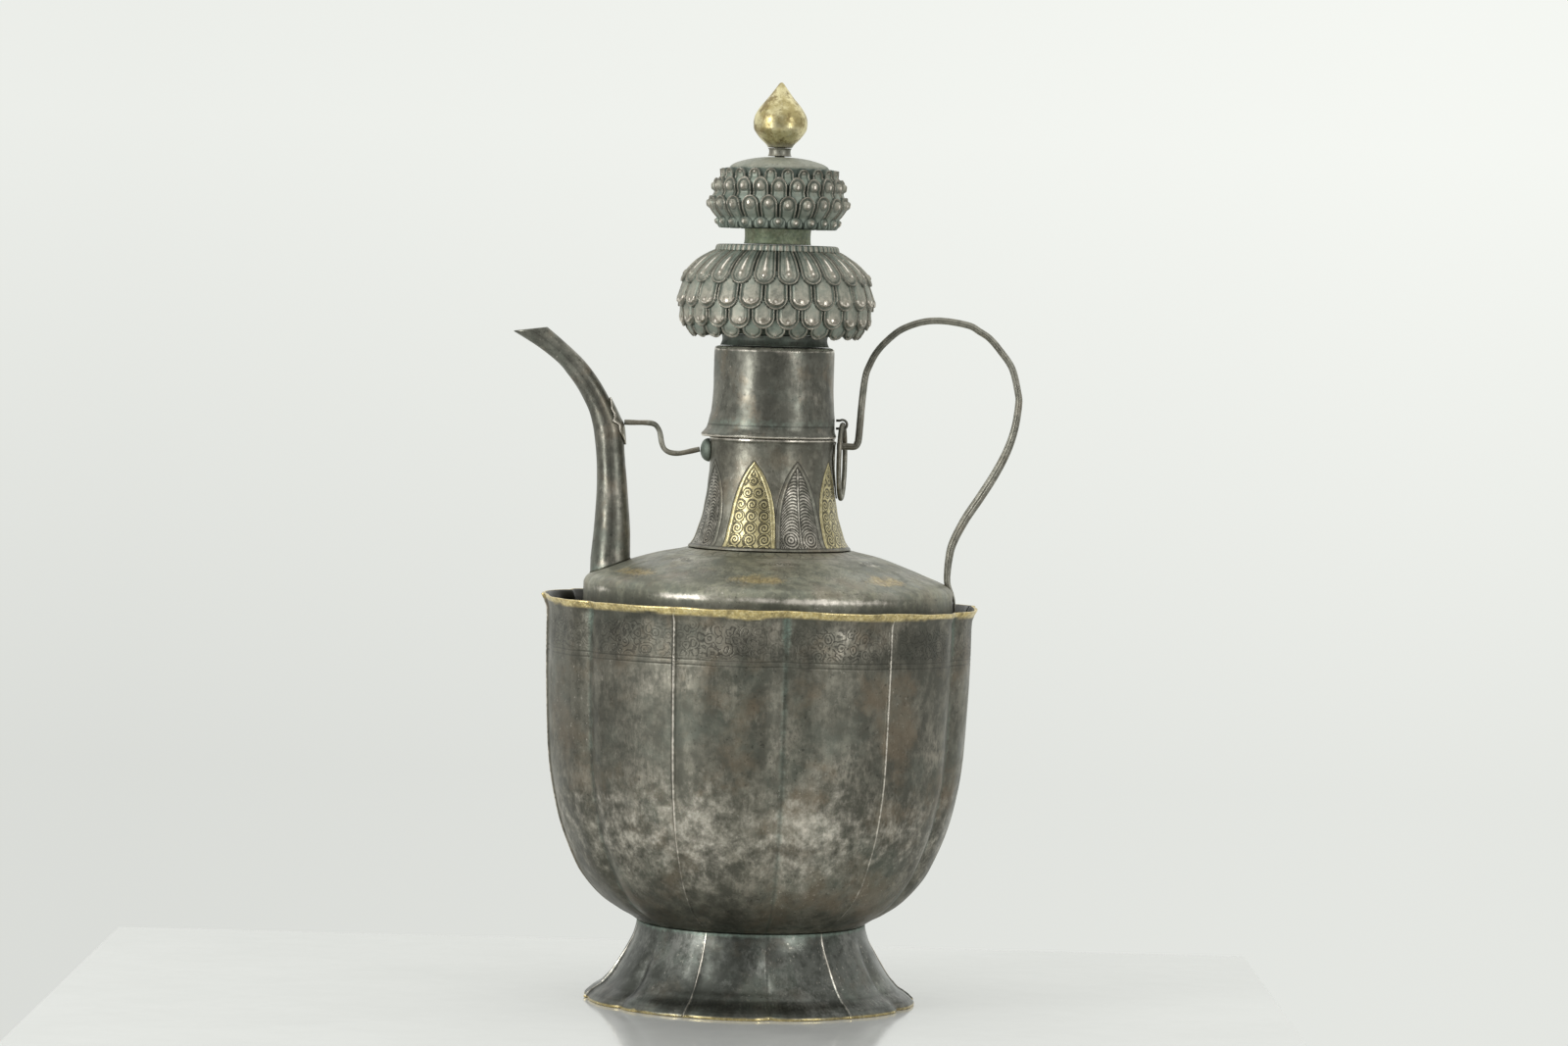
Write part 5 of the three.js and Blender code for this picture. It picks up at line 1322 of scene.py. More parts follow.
def petal_field(along, radius, angle, rows, petals):
    """Height over the recess and the marks of wear with painted highlights and of lines with painted shade,
    for rows of overlapping petals.
    """
    shape = (len(along), len(angle))
    height = np.zeros(shape)
    worn = np.zeros(shape)
    line = np.zeros(shape)
    taken = np.zeros(shape, bool)
    pitch = 2 * math.pi / petals
    random = np.random.default_rng(petals)
    for tip, length, width, shift, kind in rows:
        place = angle / pitch + shift + 0.5
        which = np.floor(place).astype(int) % petals
        vary = random.uniform(-1, 1, (4, petals))[:, which][:, None, :]
        across = (place % 1 - 0.5)[None, :] * pitch * radius[:, None]
        side = np.abs(across)
        half = width * (1 + 0.02 * vary[2]) * pitch * radius[:, None] / 2
        from_tip = (tip - along)[:, None] + PETAL_STRAY * vary[3]
        round_length = np.minimum(0.95 * half, 0.45 * length * MM)
        over = np.clip(round_length - from_tip, 0, None) / round_length * half
        edge = np.where(from_tip > round_length, half - side, half - np.hypot(side, over))
        inside = (edge > 0) & (from_tip > 0) & (from_tip < length * MM) & ~taken
        d = np.broadcast_to(from_tip / MM, shape)
        share = np.clip(1 - d / length, 0, 1)
        form, shine, dark = petal_form(kind, edge / MM, across / MM, d, share, vary)
        height = np.where(inside, form, height)
        worn = np.where(inside, shine, worn)
        line = np.where(inside, dark, line)
        taken |= inside
    # The recess between the petals is painted dark as shade.
    line = np.where(taken, line, 0.85)
    return height * MM, worn, line


# Radius and height shares of each tier's node, from the top down for the lower tier and from the
# foot up for the upper one: where it starts, its ring of beads, its recess, its end and its inside
LOWER_START_SHARES = [
    (0.2885, 0.992), (0.5481, 0.992),
]
LOWER_BEAD_SHARES = [
    (0.5481, 0.992), (0.5817, 0.9973), (0.6034, 0.9813), (0.6106, 0.9573), (0.6154, 0.9307),
    (0.6058, 0.9147),
]
LOWER_RECESS_SHARES = [
    (0.6058, 0.9147), (0.6779, 0.8667), (0.774, 0.7867), (0.851, 0.696), (0.899, 0.6107),
    (0.9135, 0.5467), (0.9279, 0.4667), (0.9351, 0.3867), (0.9327, 0.312), (0.9207, 0.2427),
    (0.9087, 0.168), (0.8798, 0.0933), (0.8365, 0.0373), (0.7933, 0.0027),
]
LOWER_END_SHARES = [
    (0.7933, 0.0027), (0.6731, 0.0013), (0.4567, 0.0013),
]
LOWER_INNER_SHARES = [
    (0.4471, 0.056), (0.7933, 0.0773), (0.8558, 0.3333), (0.8269, 0.6), (0.5769, 0.856), (0.2885, 0.9307),
]
UPPER_START_SHARES = [
    (0.4108, 0.002), (0.788, 0.002),
]
UPPER_RECESS_SHARES = [
    (0.788, 0.002), (0.8251, 0.0449), (0.8385, 0.1755), (0.8823, 0.2653), (0.9193, 0.3714),
    (0.9059, 0.4939), (0.8621, 0.5918), (0.8688, 0.6898), (0.8486, 0.7796), (0.7947, 0.8449),
    (0.7779, 0.9184), (0.7678, 1.0122),
]
UPPER_END_SHARES = [
    (0.7678, 1.0122), (0.7207, 1.0163), (0.687, 0.951),
]
UPPER_INNER_SHARES = [
    (0.6735, 0.8776), (0.7409, 0.7388), (0.7813, 0.4531), (0.7274, 0.1265), (0.4108, 0.0939),
]
LOWER_PETALS = 24
UPPER_PETALS = 22
PETAL_AROUND = 30
PETAL_STEP = 0.27 * MM
RAISED_HEIGHT = 3.0 * MM
# The lower tier's ring of beads: count, row step, height and the radii between which it rises
LOTUS_BEADS = 60
BEAD_STEP = 0.3 * MM
BEAD_HEIGHT = 0.5 * MM
BEAD_INNER = 23.2 * MM
BEAD_OUTER = 24.6 * MM
BEAD_LINE_RADIUS = 23.6 * MM
# Notches between the tips of the upper tier's top row
CROWN_LOW = 345.5 * MM
CROWN_HIGH = 347.5 * MM
CROWN_RADIUS = 21.5 * MM
CROWN_NOTCH = 0.6 * MM


def lotus_skin(name, node, tables, rows, petals):
    """One tier: a turned recess with relief petals, between its start, beads, end and inside."""
    size = node_size(node)
    start, bead, recess, end, inner = [np.array(sized(table, *size)) for table in tables]
    curve = spline(recess, PETAL_STEP)
    along = length_along(curve)
    angle = turns(petals * PETAL_AROUND)
    upwards = np.sign(curve[-1, 1] - curve[0, 1])
    placed = []
    for share, *form in rows:
        tip_z = size[1] + share * size[2]
        placed.append((float(np.interp(upwards * tip_z, upwards * curve[:, 1], along)), *form))
    height, petal_worn, petal_line = petal_field(along, curve[:, 0], angle, placed, petals)
    outward = normals_2d(curve)
    if outward[len(curve) // 2, 0] < 0:
        outward = -outward
    height[:3] *= np.array([0.2, 0.5, 0.8])[:, None]
    before = [start, spline(bead, BEAD_STEP)] if len(bead) else [start]
    before = np.vstack(before)[:-1]
    whole = np.vstack([before, curve, end[1:], inner])
    grid = turn_profile(whole, len(angle), POT_X)
    first = len(before)
    part = slice(first, first + len(curve))
    push_in(grid[part], angle, -height * outward[:, :1])
    grid[part, :, 2] += height * outward[:, 1:]
    raised, worn, line = np.zeros((3, *grid.shape[:2]))
    raised[part] = np.clip(height / RAISED_HEIGHT, 0, 1)
    worn[part] = petal_worn
    line[part] = np.clip(petal_line, 0, 1)
    if len(bead):
        bumps = np.abs(np.sin(angle * LOTUS_BEADS / 2))
        radius = whole[:first, :1]
        ring = step_up(radius, BEAD_INNER, BEAD_OUTER) * bumps
        push_in(grid[:first], angle, -BEAD_HEIGHT * ring)
        raised[:first] = 0.6 * ring
        worn[:first] = 0.45 * (ring > 0.8)
        # Painted shade in the creases between the beads.
        line[:first] = 0.75 * (bumps < 0.3) * (radius > BEAD_LINE_RADIUS)
    crown = step_up(grid[:, :, 2], CROWN_LOW, CROWN_HIGH) * (whole[:, :1] > CROWN_RADIUS)
    grid[:, :, 2] -= CROWN_NOTCH * crown * step_up(np.abs(np.cos(angle * petals / 2)), 0.5, 1.0)
    grid = waver(grid, 51 + petals, 0.2 * MM, 12 * MM)
    piece(
        name, node, "lid", "lotus_silver", LOTUS_METAL, grid, looped=True,
        raised=raised, worn=worn, line=line
    )


def lotus_tiers():
    tables = (
        LOWER_START_SHARES, LOWER_BEAD_SHARES, LOWER_RECESS_SHARES, LOWER_END_SHARES, LOWER_INNER_SHARES
    )
    lotus_skin("lower_petals", "lower_lotus", tables, LOWER_ROWS, LOWER_PETALS)
    tables = (UPPER_START_SHARES, [], UPPER_RECESS_SHARES, UPPER_END_SHARES, UPPER_INNER_SHARES)
    lotus_skin("upper_petals", "upper_lotus", tables, UPPER_ROWS, UPPER_PETALS)


# Rings of the lid, outer face and then inner face, as shares of each node's radius and height
BAND_SHARES = [
    (1.0269, 0), (1.009, 0.1556), (0.9865, 0.5111), (0.991, 0.8667), (1, 1),
]
BAND_INNER_SHARES = [
    (0.9058, 1), (0.9058, 0),
]
WAIST_SHARES = [
    (1, 0), (0.9858, 0.0952), (0.9752, 0.4921), (0.9858, 0.9048), (1, 1),
]
WAIST_INNER_SHARES = [
    (0.8511, 1), (0.8511, 0),
]
DOME_SHARES = [
    (0.976, -0.24), (0.9952, -0.02), (0.9856, 0.16), (0.9279, 0.34), (0.8462, 0.5), (0.6635, 0.73),
    (0.4712, 0.88), (0.3029, 0.96), (0.1298, 0.99),
]
DOME_INNER_SHARES = [
    (0.1298, 0.76), (0.5769, 0.58), (0.875, -0.24),
]
STEM_SHARES = [
    (1, 0.0147), (0.94, 0.1765), (0.9, 0.4706), (0.92, 0.7941), (1, 0.9853),
]
STEM_INNER_SHARES = [
    (0.54, 0.9853), (0.54, 0.0147),
]
RING_STEP = 0.4 * MM
STEM_STEP = 0.25 * MM
RING_WAVER = 0.05 * MM
DOME_WAVER = 0.12 * MM
STEM_WAVER = 0.02 * MM


def lid_ring(name, node, material, faces, around, seed, amount=RING_WAVER, step=RING_STEP):
    """A closed ring turned from its outer and inner faces."""
    outer, inner = [sized(face, *node_size(node)) for face in faces]
    profile = np.vstack([spline(outer, step), spline(inner, 3 * step)])
    grid = waver(turn_profile(profile, around, POT_X), seed, amount, 12 * MM)
    piece(name, node, "lid", "lotus_silver", material, grid, looped=True)


def lid_rings():
    lid_ring("band_skin", "lid_band", BAND_METAL, (BAND_SHARES, BAND_INNER_SHARES), 200, 61)
    lid_ring("waist_skin", "waist_ring", WAIST_METAL, (WAIST_SHARES, WAIST_INNER_SHARES), 160, 62)
    faces = (DOME_SHARES, DOME_INNER_SHARES)
    lid_ring("dome_skin", "lid_dome", DOME_METAL, faces, 240, 63, DOME_WAVER)
    faces = (STEM_SHARES, STEM_INNER_SHARES)
    lid_ring("stem_skin", "finial_stem", WIRE_METAL, faces, 96, 64, STEM_WAVER, STEM_STEP)


BUD_SHARES = [
    (0.46, 0), (0.53, 0.045), (0.717, 0.119), (0.863, 0.192), (0.973, 0.266), (1, 0.34), (0.995, 0.409),
    (0.956, 0.4825), (0.863, 0.556), (0.752, 0.626), (0.606, 0.699), (0.46, 0.773), (0.327, 0.846),
    (0.204, 0.916), (0.09, 0.98), (0.025, 1),
]
BUD_RADIUS = half_width("finial_bud")
BUD_BASE = 357.7 * MM
BUD_TIP = top_z("finial_bud")
BUD_STEP = 0.35 * MM
BUD_PATINA = 2.6 * MM
TANG_RADIUS = 2.1 * MM
TANG_TIP_RADIUS = 0.5 * MM
TANG_GAP = 0.2 * MM


def finial_bud():
    curve = spline(sized(BUD_SHARES, BUD_RADIUS, BUD_BASE, BUD_TIP - BUD_BASE), BUD_STEP)
    tang_low = low_z("finial_bud") + TANG_GAP
    tang = [(TANG_TIP_RADIUS, tang_low), (TANG_RADIUS, tang_low), (TANG_RADIUS, BUD_BASE - TANG_GAP)]
    grid = waver(turn_profile(np.vstack([tang, curve]), 160, POT_X), 71, 0.08 * MM, 12 * MM)
    patina = 0.8 * (1 - step_up(grid[:, :, 2], BUD_BASE, BUD_BASE + BUD_PATINA))
    piece("bud_skin", "finial_bud", "lid", "gilt_silver", BUD_METAL, grid, patina=patina)


# Spout, strut, handle, eye and link

SPOUT_REACH = 109.4 * MM
SPOUT_TIP = 280 * MM
# Outer and inner edge of the spout in each row: reach share and height share, then width share
SPOUT_SHARES = [
    (0.6845, 0.6571, 0.5324, 0.6661, 1), (0.6755, 0.6964, 0.5351, 0.7018, 1),
    (0.6700, 0.7321, 0.5424, 0.7357, 1), (0.6673, 0.7679, 0.5515, 0.7714, 1),
    (0.6709, 0.8071, 0.5625, 0.8118, 1), (0.6819, 0.8429, 0.5716, 0.8521, 1),
    (0.6910, 0.8607, 0.5898, 0.8689, 1), (0.7046, 0.8779, 0.6208, 0.8921, 1),
    (0.7274, 0.8957, 0.6517, 0.9132, 1), (0.7539, 0.9132, 0.6846, 0.9321, 1),
    (0.7876, 0.9307, 0.7238, 0.9507, 1), (0.8286, 0.9486, 0.7675, 0.9671, 0.98),
    (0.9079, 0.9718, 0.8277, 0.9871, 0.8), (1, 0.9932, 0.8687, 1, 0.55),
]
SPOUT_STEPS = 8
SPOUT_AROUND = 96
SPOUT_WALL = 1.0 * MM
SPOUT_LIP = [(0.35 * MM, 0.25 * MM), (0.8 * MM, 0)]
SPOUT_FOOT_SPREAD = 1.035
SPOUT_FOOT_GAP = 0.1 * MM
SPOUT_BASE_GAP = 0.15 * MM
SPOUT_BASE_RISE = 0.8 * MM
SPOUT_ROW_GAP = 0.2 * MM
SPOUT_WORN_LOW = 262 * MM
SPOUT_WORN_HIGH = 275 * MM
SPOUT_PATINA_Z = 180 * MM


def spout_rows():
    return spline(SPOUT_SHARES, each=SPOUT_STEPS)


def spout_point(row, angle, offset):
    """Points round the spout's section; angle 0 faces the pot and offset moves outwards."""
    left = np.array([POT_X - row[0] * SPOUT_REACH, row[1] * SPOUT_TIP])
    right = np.array([POT_X - row[2] * SPOUT_REACH, row[3] * SPOUT_TIP])
    half = np.linalg.norm(right - left) / 2
    u = (right - left) / (2 * half)
    depth = (half + offset) * np.cos(angle)
    width = (half * row[4] + offset) * np.sin(angle)
    centre = (left + right) / 2
    return np.column_stack([centre[0] + u[0] * depth, width, centre[1] + u[1] * depth])


def shoulder_height(points):
    """The shoulder's height under points."""
    radius = np.hypot(points[:, 0] - POT_X, points[:, 1])
    curve = np.array(shoulder_profile())
    return np.interp(radius, curve[:-2, 0], curve[:-2, 1]) + shoulder_tilt(points[:, 0], radius)


def spout_skin():
    angle = turns(SPOUT_AROUND)
    rows = spout_rows()
    base = spout_point(rows[0], angle, 0)
    base[:, 2] = shoulder_height(base) + SPOUT_BASE_GAP
    foot = base.copy()
    middle = base[:, :2].mean(axis=0)
    foot[:, :2] = (base[:, :2] - middle) * SPOUT_FOOT_SPREAD + middle
    foot[:, 2] = shoulder_height(foot) + SPOUT_FOOT_GAP
    low = base + [0, 0, SPOUT_BASE_RISE]

    def ring(row, offset):
        points = spout_point(row, angle, offset)
        points[:, 2] = np.maximum(points[:, 2], low[:, 2] + SPOUT_ROW_GAP)
        return points

    grid = [foot, low] + [ring(row, 0) for row in rows]
    grid += [spout_point(rows[-1], angle, -inset) + [0, 0, rise] for inset, rise in SPOUT_LIP]
    grid += [ring(row, -SPOUT_WALL) for row in rows[::-4][1:]]
    end = spout_point(rows[0], angle, -SPOUT_WALL)
    end[:, 2] = base[:, 2]
    grid = np.array([*grid, end])
    z = grid[:, :, 2]
    piece(
        "spout_skin", "spout", "pot", "silver", CAP_METAL, grid, looped=True,
        worn=0.12 * step_up(z, SPOUT_WORN_LOW, SPOUT_WORN_HIGH),
        patina=0.6 * bump_at(z, SPOUT_PATINA_Z, 3.5 * MM),
        line=0.35 * (bump_at(angle, math.pi / 2, 0.04) + bump_at(angle, 1.5 * math.pi, 0.04)),
    )


def patch_grid(point_at, across, along, thickness):
    """A thin plate; point_at gives a point for across -1..1, along 0..1 and depth."""
    grid = []
    for v in range(along + 1):
        front = [point_at(u / across * 2 - 1, v / along, thickness) for u in range(across + 1)]
        back = [point_at(u / across * 2 - 1, v / along, 0) for u in range(across, -1, -1)]
        grid.append(front + back)
    return np.array(grid)


# The saddle leaf runs between these shares of the spout's rows
SADDLE_START = 0.3346
SADDLE_END = 0.5538
SADDLE_HALF_ANGLE = math.radians(62)
SADDLE_WAVES = 3
SADDLE_WAVE_DEPTH = 0.14
SADDLE_CROWN = 0.35
SADDLE_THICKNESS = 0.7 * MM
SADDLE_LIFT = 0.15 * MM
SADDLE_ACROSS = 16
SADDLE_WORN_COLUMNS = [0, 1, 2, SADDLE_ACROSS - 2, SADDLE_ACROSS - 1, SADDLE_ACROSS]


def saddle_plate():
    rows = spout_rows()

    def point_at(u, v, depth):
        row = rows[int(round((SADDLE_START + v * (SADDLE_END - SADDLE_START)) * (len(rows) - 1)))]
        waves = 1 - SADDLE_WAVE_DEPTH * math.cos(2 * math.pi * SADDLE_WAVES * v)
        width = max(math.sin(math.pi * v) ** 0.6, 0.12) * waves / (1 + SADDLE_WAVE_DEPTH)
        crown = depth * (1 + SADDLE_CROWN * math.cos(u * math.pi / 2)) / (1 + SADDLE_CROWN)
        return spout_point(row, np.array([u * width * SADDLE_HALF_ANGLE]), SADDLE_LIFT + crown)[0]

    grid = patch_grid(point_at, SADDLE_ACROSS, 22, SADDLE_THICKNESS)
    worn = np.zeros(grid.shape[:2])
    worn[:, SADDLE_WORN_COLUMNS] = 0.8
    piece("saddle_leaf", "spout_saddle", "pot", "silver", WIRE_METAL, grid, worn=worn)


def wire_grid(path, depth, width, around=20, grooves=0.0):
    """Rows of an oval section along a path in the plane of spout and handle."""
    path = np.asarray(path)
    step = np.gradient(path, axis=0)
    step /= np.linalg.norm(step, axis=1)[:, None]
    depth, width = [np.broadcast_to(size, len(path))[:, None] for size in (depth, width)]
    angle = turns(around)
    ridge = 1 - grooves * np.cos(angle * 4) ** 16
    across = depth * np.cos(angle) * ridge
    x = path[:, :1] - across * step[:, 1:]
    z = path[:, 1:] + across * step[:, :1]
    return np.stack([x, width * np.sin(angle) * ridge, z], axis=2)


# Share of the strut's span and of its drop
STRUT_SHARES = [
    (0, 0), (0.15, 0), (0.32, 0), (0.405, 0.056), (0.456, 0.218), (0.478, 0.395), (0.494, 0.62),
    (0.522, 0.815), (0.575, 0.944), (0.66, 1), (0.77, 0.984), (1, 0.84),
]
STRUT_RADIUS = 1.1 * MM
STRUT_START = (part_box("strut_wire")[0].x, top_z("strut_wire") - STRUT_RADIUS)
STRUT_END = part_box("strut_wire")[1].x
STRUT_DROP = 12.4 * MM
STRUT_STEP = 0.5 * MM


def strut_wire():
    x, z = STRUT_START
    path = spline([(x + s * (STRUT_END - x), z - d * STRUT_DROP) for s, d in STRUT_SHARES], STRUT_STEP)
    wide = STRUT_RADIUS * (1 + 0.05 * np.sin(np.arange(len(path)) * 0.35))
    grid = wire_grid(path, wide, wide)
    piece("strut_skin", "strut_wire", "pot", "silver", WIRE_METAL, grid, worn=0.15)


def neck_place(direction, y, z, lift):
    """A point on the neck's right or left side, lifted off it."""
    curve = np.array(sized(NECK_SHARES, NECK_RADIUS, NECK_BASE, NECK_TOP - NECK_BASE))
    radius = float(np.interp(z, curve[:, 1], curve[:, 0])) + lift
    return (POT_X + direction * math.sqrt(max(radius * radius - y * y, 0)), y, z)


# Share of the boss's radius and of its height
BOSS_SHARES = [
    (0.05, 0), (0.5, 0), (1.0, 0), (1.02, 0.12), (0.97, 0.34), (0.86, 0.58), (0.68, 0.78), (0.44, 0.92),
    (0.2, 0.99),
]
BOSS_RADIUS = 4.85 * MM
BOSS_HEIGHT = 4.0 * MM
BOSS_Z = (low_z("strut_boss") + top_z("strut_boss")) / 2
NECK_LIFT = 0.1 * MM


def strut_boss():
    grid = []
    for radius_share, height_share in BOSS_SHARES:
        reach = radius_share * BOSS_RADIUS
        lift = NECK_LIFT + height_share * BOSS_HEIGHT
        places = [(reach * math.cos(angle), BOSS_Z + reach * math.sin(angle)) for angle in turns(48)]
        grid.append([neck_place(-1, y, z, lift) for y, z in places])
    piece("boss_skin", "strut_boss", "pot", "silver", LOTUS_METAL, grid, raised=0.2, line=0.3)


HANDLE_HALF_WIDTH = 2.0 * MM
HANDLE_HALF_DEPTH = 1.45 * MM
HANDLE_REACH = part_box("handle")[1].x - POT_X - HANDLE_HALF_DEPTH
HANDLE_START = 27.12 * MM
HANDLE_BAR_Z = NECK_TOP - 2.7 * MM
HANDLE_TOP = top_z("handle") - HANDLE_HALF_DEPTH
HANDLE_LEG_X = 78.243 * MM
HANDLE_LEG_LOW = low_z("handle")
HANDLE_LEG_TOP = 181 * MM
HANDLE_LEG_BEND = 2.75 * MM
HANDLE_STEP = 0.7 * MM
HANDLE_AROUND = 64
# Out of the neck and up: share of the way out, share of the rise, half depth and half width share
HANDLE_RISE = [
    (0, 0, 1, 1), (0.0578, 0, 1, 1), (0.099, 0.002, 1, 1), (0.1131, 0.03, 1.05, 1),
    (0.1196, 0.0838, 1.05, 1), (0.1324, 0.3631, 1.05, 1), (0.1465, 0.5495, 1, 1), (0.1684, 0.6426, 1, 1),
    (0.2018, 0.7356, 1, 1), (0.2544, 0.8268, 1, 1), (0.338, 0.9255, 1, 1), (0.4524, 0.9878, 1, 1),
    (0.5681, 1, 1, 1), (0.7043, 0.9702, 1, 1), (0.7648, 0.9255, 1, 1), (0.8213, 0.8734, 1, 1),
    (0.8798, 0.7821, 1, 1), (0.9493, 0.6426, 1, 1), (0.985, 0.4561, 1, 1),
]
# Back down to the leg: share of the way from the leg out, share of the way from the leg up
HANDLE_RETURN = [
    (0.972, 0.6779, 1.05, 1), (0.919, 0.5838, 1.1, 1), (0.803, 0.4944, 1.2, 1), (0.6125, 0.4011, 1.3, 1),
    (0.3775, 0.308, 1.35, 1), (0.129, 0.2147, 1.3, 1), (-0.058, 0.1215, 1.2, 1), (-0.115, 0.055, 1.1, 1),
    (-0.132, 0, 1.0, 1.0),
]
# The leg beside the shoulder's edge: share of the bend and share of the leg's height
HANDLE_LEG = [
    (-1.22, 0.916, 0.966, 1.05), (-1.11, 0.824, 0.952, 1.15), (-0.76, 0.736, 0.793, 1.3),
    (-0.3793, 0.656, 0.586, 1.45), (-0.1065, 0.568, 0.428, 1.6), (-0.0156, 0.46, 0.345, 1.7),
    (0.0, 0.26, 0.338, 1.7), (0.0, 0.0, 0.338, 1.2),
]


def handle_rows():
    """Rows of x, z, half depth and half width along the handle."""
    stretches = [
        (HANDLE_RISE, HANDLE_START, HANDLE_REACH, HANDLE_BAR_Z, HANDLE_TOP),
        (HANDLE_RETURN, HANDLE_LEG_X, HANDLE_REACH, HANDLE_LEG_TOP, HANDLE_TOP),
        (HANDLE_LEG, HANDLE_LEG_X, HANDLE_LEG_X + HANDLE_LEG_BEND, HANDLE_LEG_LOW, HANDLE_LEG_TOP),
    ]
    rows = []
    for shares, near, far, low, high in stretches:
        for out, up, deep, wide in shares:
            x = POT_X + near + out * (far - near)
            z = low + up * (high - low)
            rows.append((x, z, deep * HANDLE_HALF_DEPTH, wide * HANDLE_HALF_WIDTH))
    return rows


def handle_wire():
    rows = spline(handle_rows(), HANDLE_STEP)
    grid = wire_grid(rows[:, :2], rows[:, 2], rows[:, 3], HANDLE_AROUND, 0.22)
    line = 0.15 * np.cos(turns(HANDLE_AROUND) * 4) ** 24
    piece("handle_skin", "handle", "pot", "silver", WIRE_METAL, grid, line=line, worn=0.2)


PLATE_TOP = top_z("handle_neck_plate")
PLATE_LOW = low_z("handle_neck_plate")
PLATE_HALF_WIDTH = 5.2 * MM
PLATE_WIDEST = 0.3
PLATE_THICKNESS = 0.6 * MM


def handle_plate():
    def point_at(u, v, depth):
        start = min(v / PLATE_WIDEST, 1) ** 0.5
        end = max(1 - (v - PLATE_WIDEST) / (1 - PLATE_WIDEST), 0) ** 0.8
        half = PLATE_HALF_WIDTH * max(min(start, end), 0.05)
        return neck_place(1, u * half, PLATE_TOP + v * (PLATE_LOW - PLATE_TOP), NECK_LIFT + depth)

    grid = patch_grid(point_at, 12, 40, PLATE_THICKNESS)
    piece("handle_leaf", "handle_neck_plate", "pot", "silver", WIRE_METAL, grid, worn=0.15)


EYE_X = 31.4 * MM
EYE_Z = 242.6 * MM
EYE_RADIUS = 1.97 * MM
EYE_WIRE = 0.52 * MM
EYE_HALF_ANGLE = 122
EYE_END_GAP = 0.15 * MM


def lid_eye():
    """A wire loop open towards the cap, with two straight ends running back to it."""
    angle = np.radians(np.linspace(-EYE_HALF_ANGLE, EYE_HALF_ANGLE, 60))
    loop = np.column_stack([EYE_X + EYE_RADIUS * np.cos(angle), EYE_Z + EYE_RADIUS * np.sin(angle)])
    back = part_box("lid_eye")[0].x + EYE_END_GAP
    path = np.vstack([[(back, loop[0][1])], loop, [(back, loop[-1][1])]])
    grid = wire_grid(path, EYE_WIRE, EYE_WIRE, 16)
    piece("eye_skin", "lid_eye", "lid", "dark_silver", WIRE_METAL, grid, tarnish=0.9)


LINK_X = 31.6 * MM
LINK_TOP = top_z("lid_link")
LINK_HEIGHT = LINK_TOP - low_z("lid_link")
LINK_WIDTH = 13 * MM
LINK_WIRE = 1.05 * MM
LINK_TURN = math.radians(14)


def lid_link():
    t = turns(120)[:, None]
    across = LINK_WIDTH / 2 - LINK_WIRE
    up = LINK_HEIGHT / 2 - LINK_WIRE
    ahead = np.hypot(across * np.sin(t), up * np.cos(t))
    outward = LINK_WIRE * np.cos(turns(16))
    side = LINK_WIRE * np.sin(turns(16))
    y = across * np.cos(t) + outward * up * np.cos(t) / ahead
    z = LINK_TOP - LINK_HEIGHT / 2 + up * np.sin(t) + outward * across * np.sin(t) / ahead
    x = LINK_X + side * math.cos(LINK_TURN) + y * math.sin(LINK_TURN)
    y = y * math.cos(LINK_TURN) - side * math.sin(LINK_TURN)
    grid = np.stack([x, y, z], axis=2)
    piece("link_skin", "lid_link", "link", "dark_silver", WIRE_METAL, grid, looped=True, worn=0.25)


def paint_kept_nodes():
    """CAD pieces inside the pot keep their solids and get the same metal."""
    for name in ("pot_foot_ring", "mouth_collar"):
        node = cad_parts[name]
        node.data.materials.clear()
        node.data.materials.append(POT_METAL)


bowl_shell()
bowl_foot()
pot_wall()
pot_shoulder()
neck_skin()
lid_cap()
lotus_tiers()
lid_rings()
finial_bud()
spout_skin()
saddle_plate()
strut_wire()
strut_boss()
handle_wire()
handle_plate()
lid_eye()
lid_link()
paint_kept_nodes()


# Table, lights and background

TABLE_LEFT = -290 * MM
TABLE_RIGHT = 224 * MM
TABLE_BACK = 193 * MM
TABLE_FRONT = -900 * MM
TABLE_DROP = 30 * MM
BACKDROP = (0.838, 0.855, 0.817, 1)
ROOM = (1, 1, 0.985, 1)
TABLE_CLOUD = 60 * MM
TABLE_SHEEN = 30 * MM
TABLE_TONES = ((0.60, 0.61, 0.59), (0.63, 0.64, 0.62))
LIGHT_AIM = (0, 0, 0.2)


def table_paint():
    m = Paint("table_paint")
    colour = m.blend(m.band(m.noise(TABLE_CLOUD, 4, 0.6), 0.3, 0.7), *TABLE_TONES)
    sheen = m.band(m.noise(TABLE_SHEEN, 5, 0.6), 0.3, 0.7, 0.07, 0.14)
    return m.finish(Base_Color=colour, Roughness=sheen)


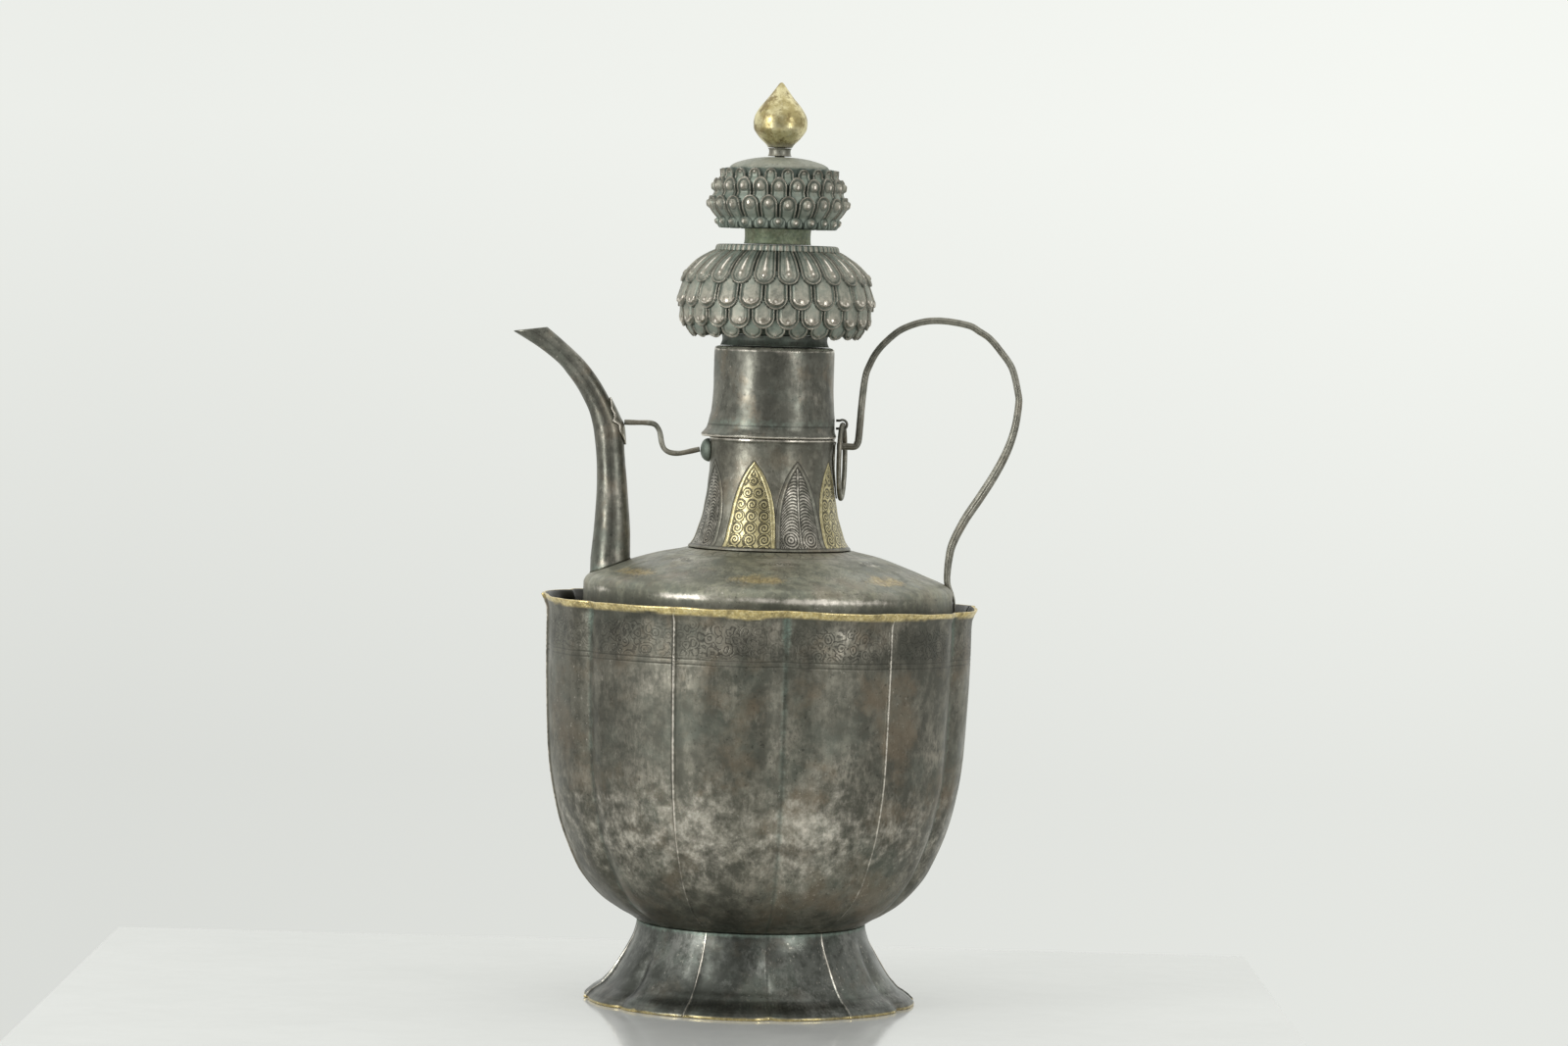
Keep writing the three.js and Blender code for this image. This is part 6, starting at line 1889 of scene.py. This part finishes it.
def make_table():
    corners = [
        (TABLE_LEFT, TABLE_FRONT), (TABLE_RIGHT, TABLE_FRONT), (TABLE_RIGHT, TABLE_BACK),
        (TABLE_LEFT, TABLE_BACK),
    ]
    points = [(x, y, z) for z in (0, -TABLE_DROP) for x, y in corners]
    faces = [[0, 1, 2, 3], [7, 6, 5, 4]] + [[(i + 1) % 4, i, i + 4, (i + 1) % 4 + 4] for i in range(4)]
    table = new_mesh("table", points, faces)
    table.data.polygons.foreach_set("use_smooth", [False] * len(table.data.polygons))
    table.data.materials.append(table_paint())


def softbox(name, degrees, distance, height, size, power):
    data = bpy.data.lights.new(name, "AREA")
    data.shape = "RECTANGLE"
    data.size, data.size_y = size
    data.energy = power
    lamp = bpy.data.objects.new(name, data)
    bpy.context.scene.collection.objects.link(lamp)
    turn = math.radians(degrees)
    lamp.location = (distance * math.sin(turn), -distance * math.cos(turn), height)
    aim = Vector(LIGHT_AIM) - lamp.location
    lamp.rotation_mode = "QUATERNION"
    lamp.rotation_quaternion = aim.to_track_quat("-Z", "Y")


def make_world():
    """A pale backdrop for the camera and, behind the object, for reflections; a dimmer room in front."""
    world = bpy.data.worlds.new("studio")
    bpy.context.scene.world = world
    world.use_nodes = True
    w = Tree(world.node_tree, "OutputWorld", "Generated")

    def ramp(axis, *ends):
        return w.band(w.along(axis), *ends, "LINEAR")

    level = w.plus(ramp("Z", -0.09, 0.03, 0.84, 1.0), ramp("X", -0.12, 0.12, 0.0, 0.09))
    backdrop = w.fill(w.node("Background"), Color=BACKDROP, Strength=level)
    level = w.plus(ramp("Y", -0.7, 0.6, 0.26, 0.8), ramp("Z", 0.15, 1, 0, 0.6))
    room = w.fill(w.node("Background"), Color=ROOM, Strength=level)
    ray = w.node("LightPath").outputs
    behind = w.times(ramp("Y", 0.3, 0.7, 0, 1), ramp("Z", 0.15, 0.45, 1, 0))
    mirrored = w.times(ray["Is Glossy Ray"], behind)
    direct = w.greater(ray["Is Camera Ray"], ray["Is Transmission Ray"])
    mix = w.node("MixShader")
    mixed = (w.greater(direct, mirrored), room.outputs[0], backdrop.outputs[0])
    for socket, value in zip(mix.inputs, mixed):
        w.put(socket, value)
    w.put(w.out.inputs[0], mix.outputs[0])


make_table()
softbox("left_softbox", -51, 1.5, 0.55, (0.35, 1.3), 13)
softbox("right_softbox", 43, 1.7, 0.5, (0.3, 1.2), 7)
make_world()
bpy.context.scene.view_settings.view_transform = "Standard"
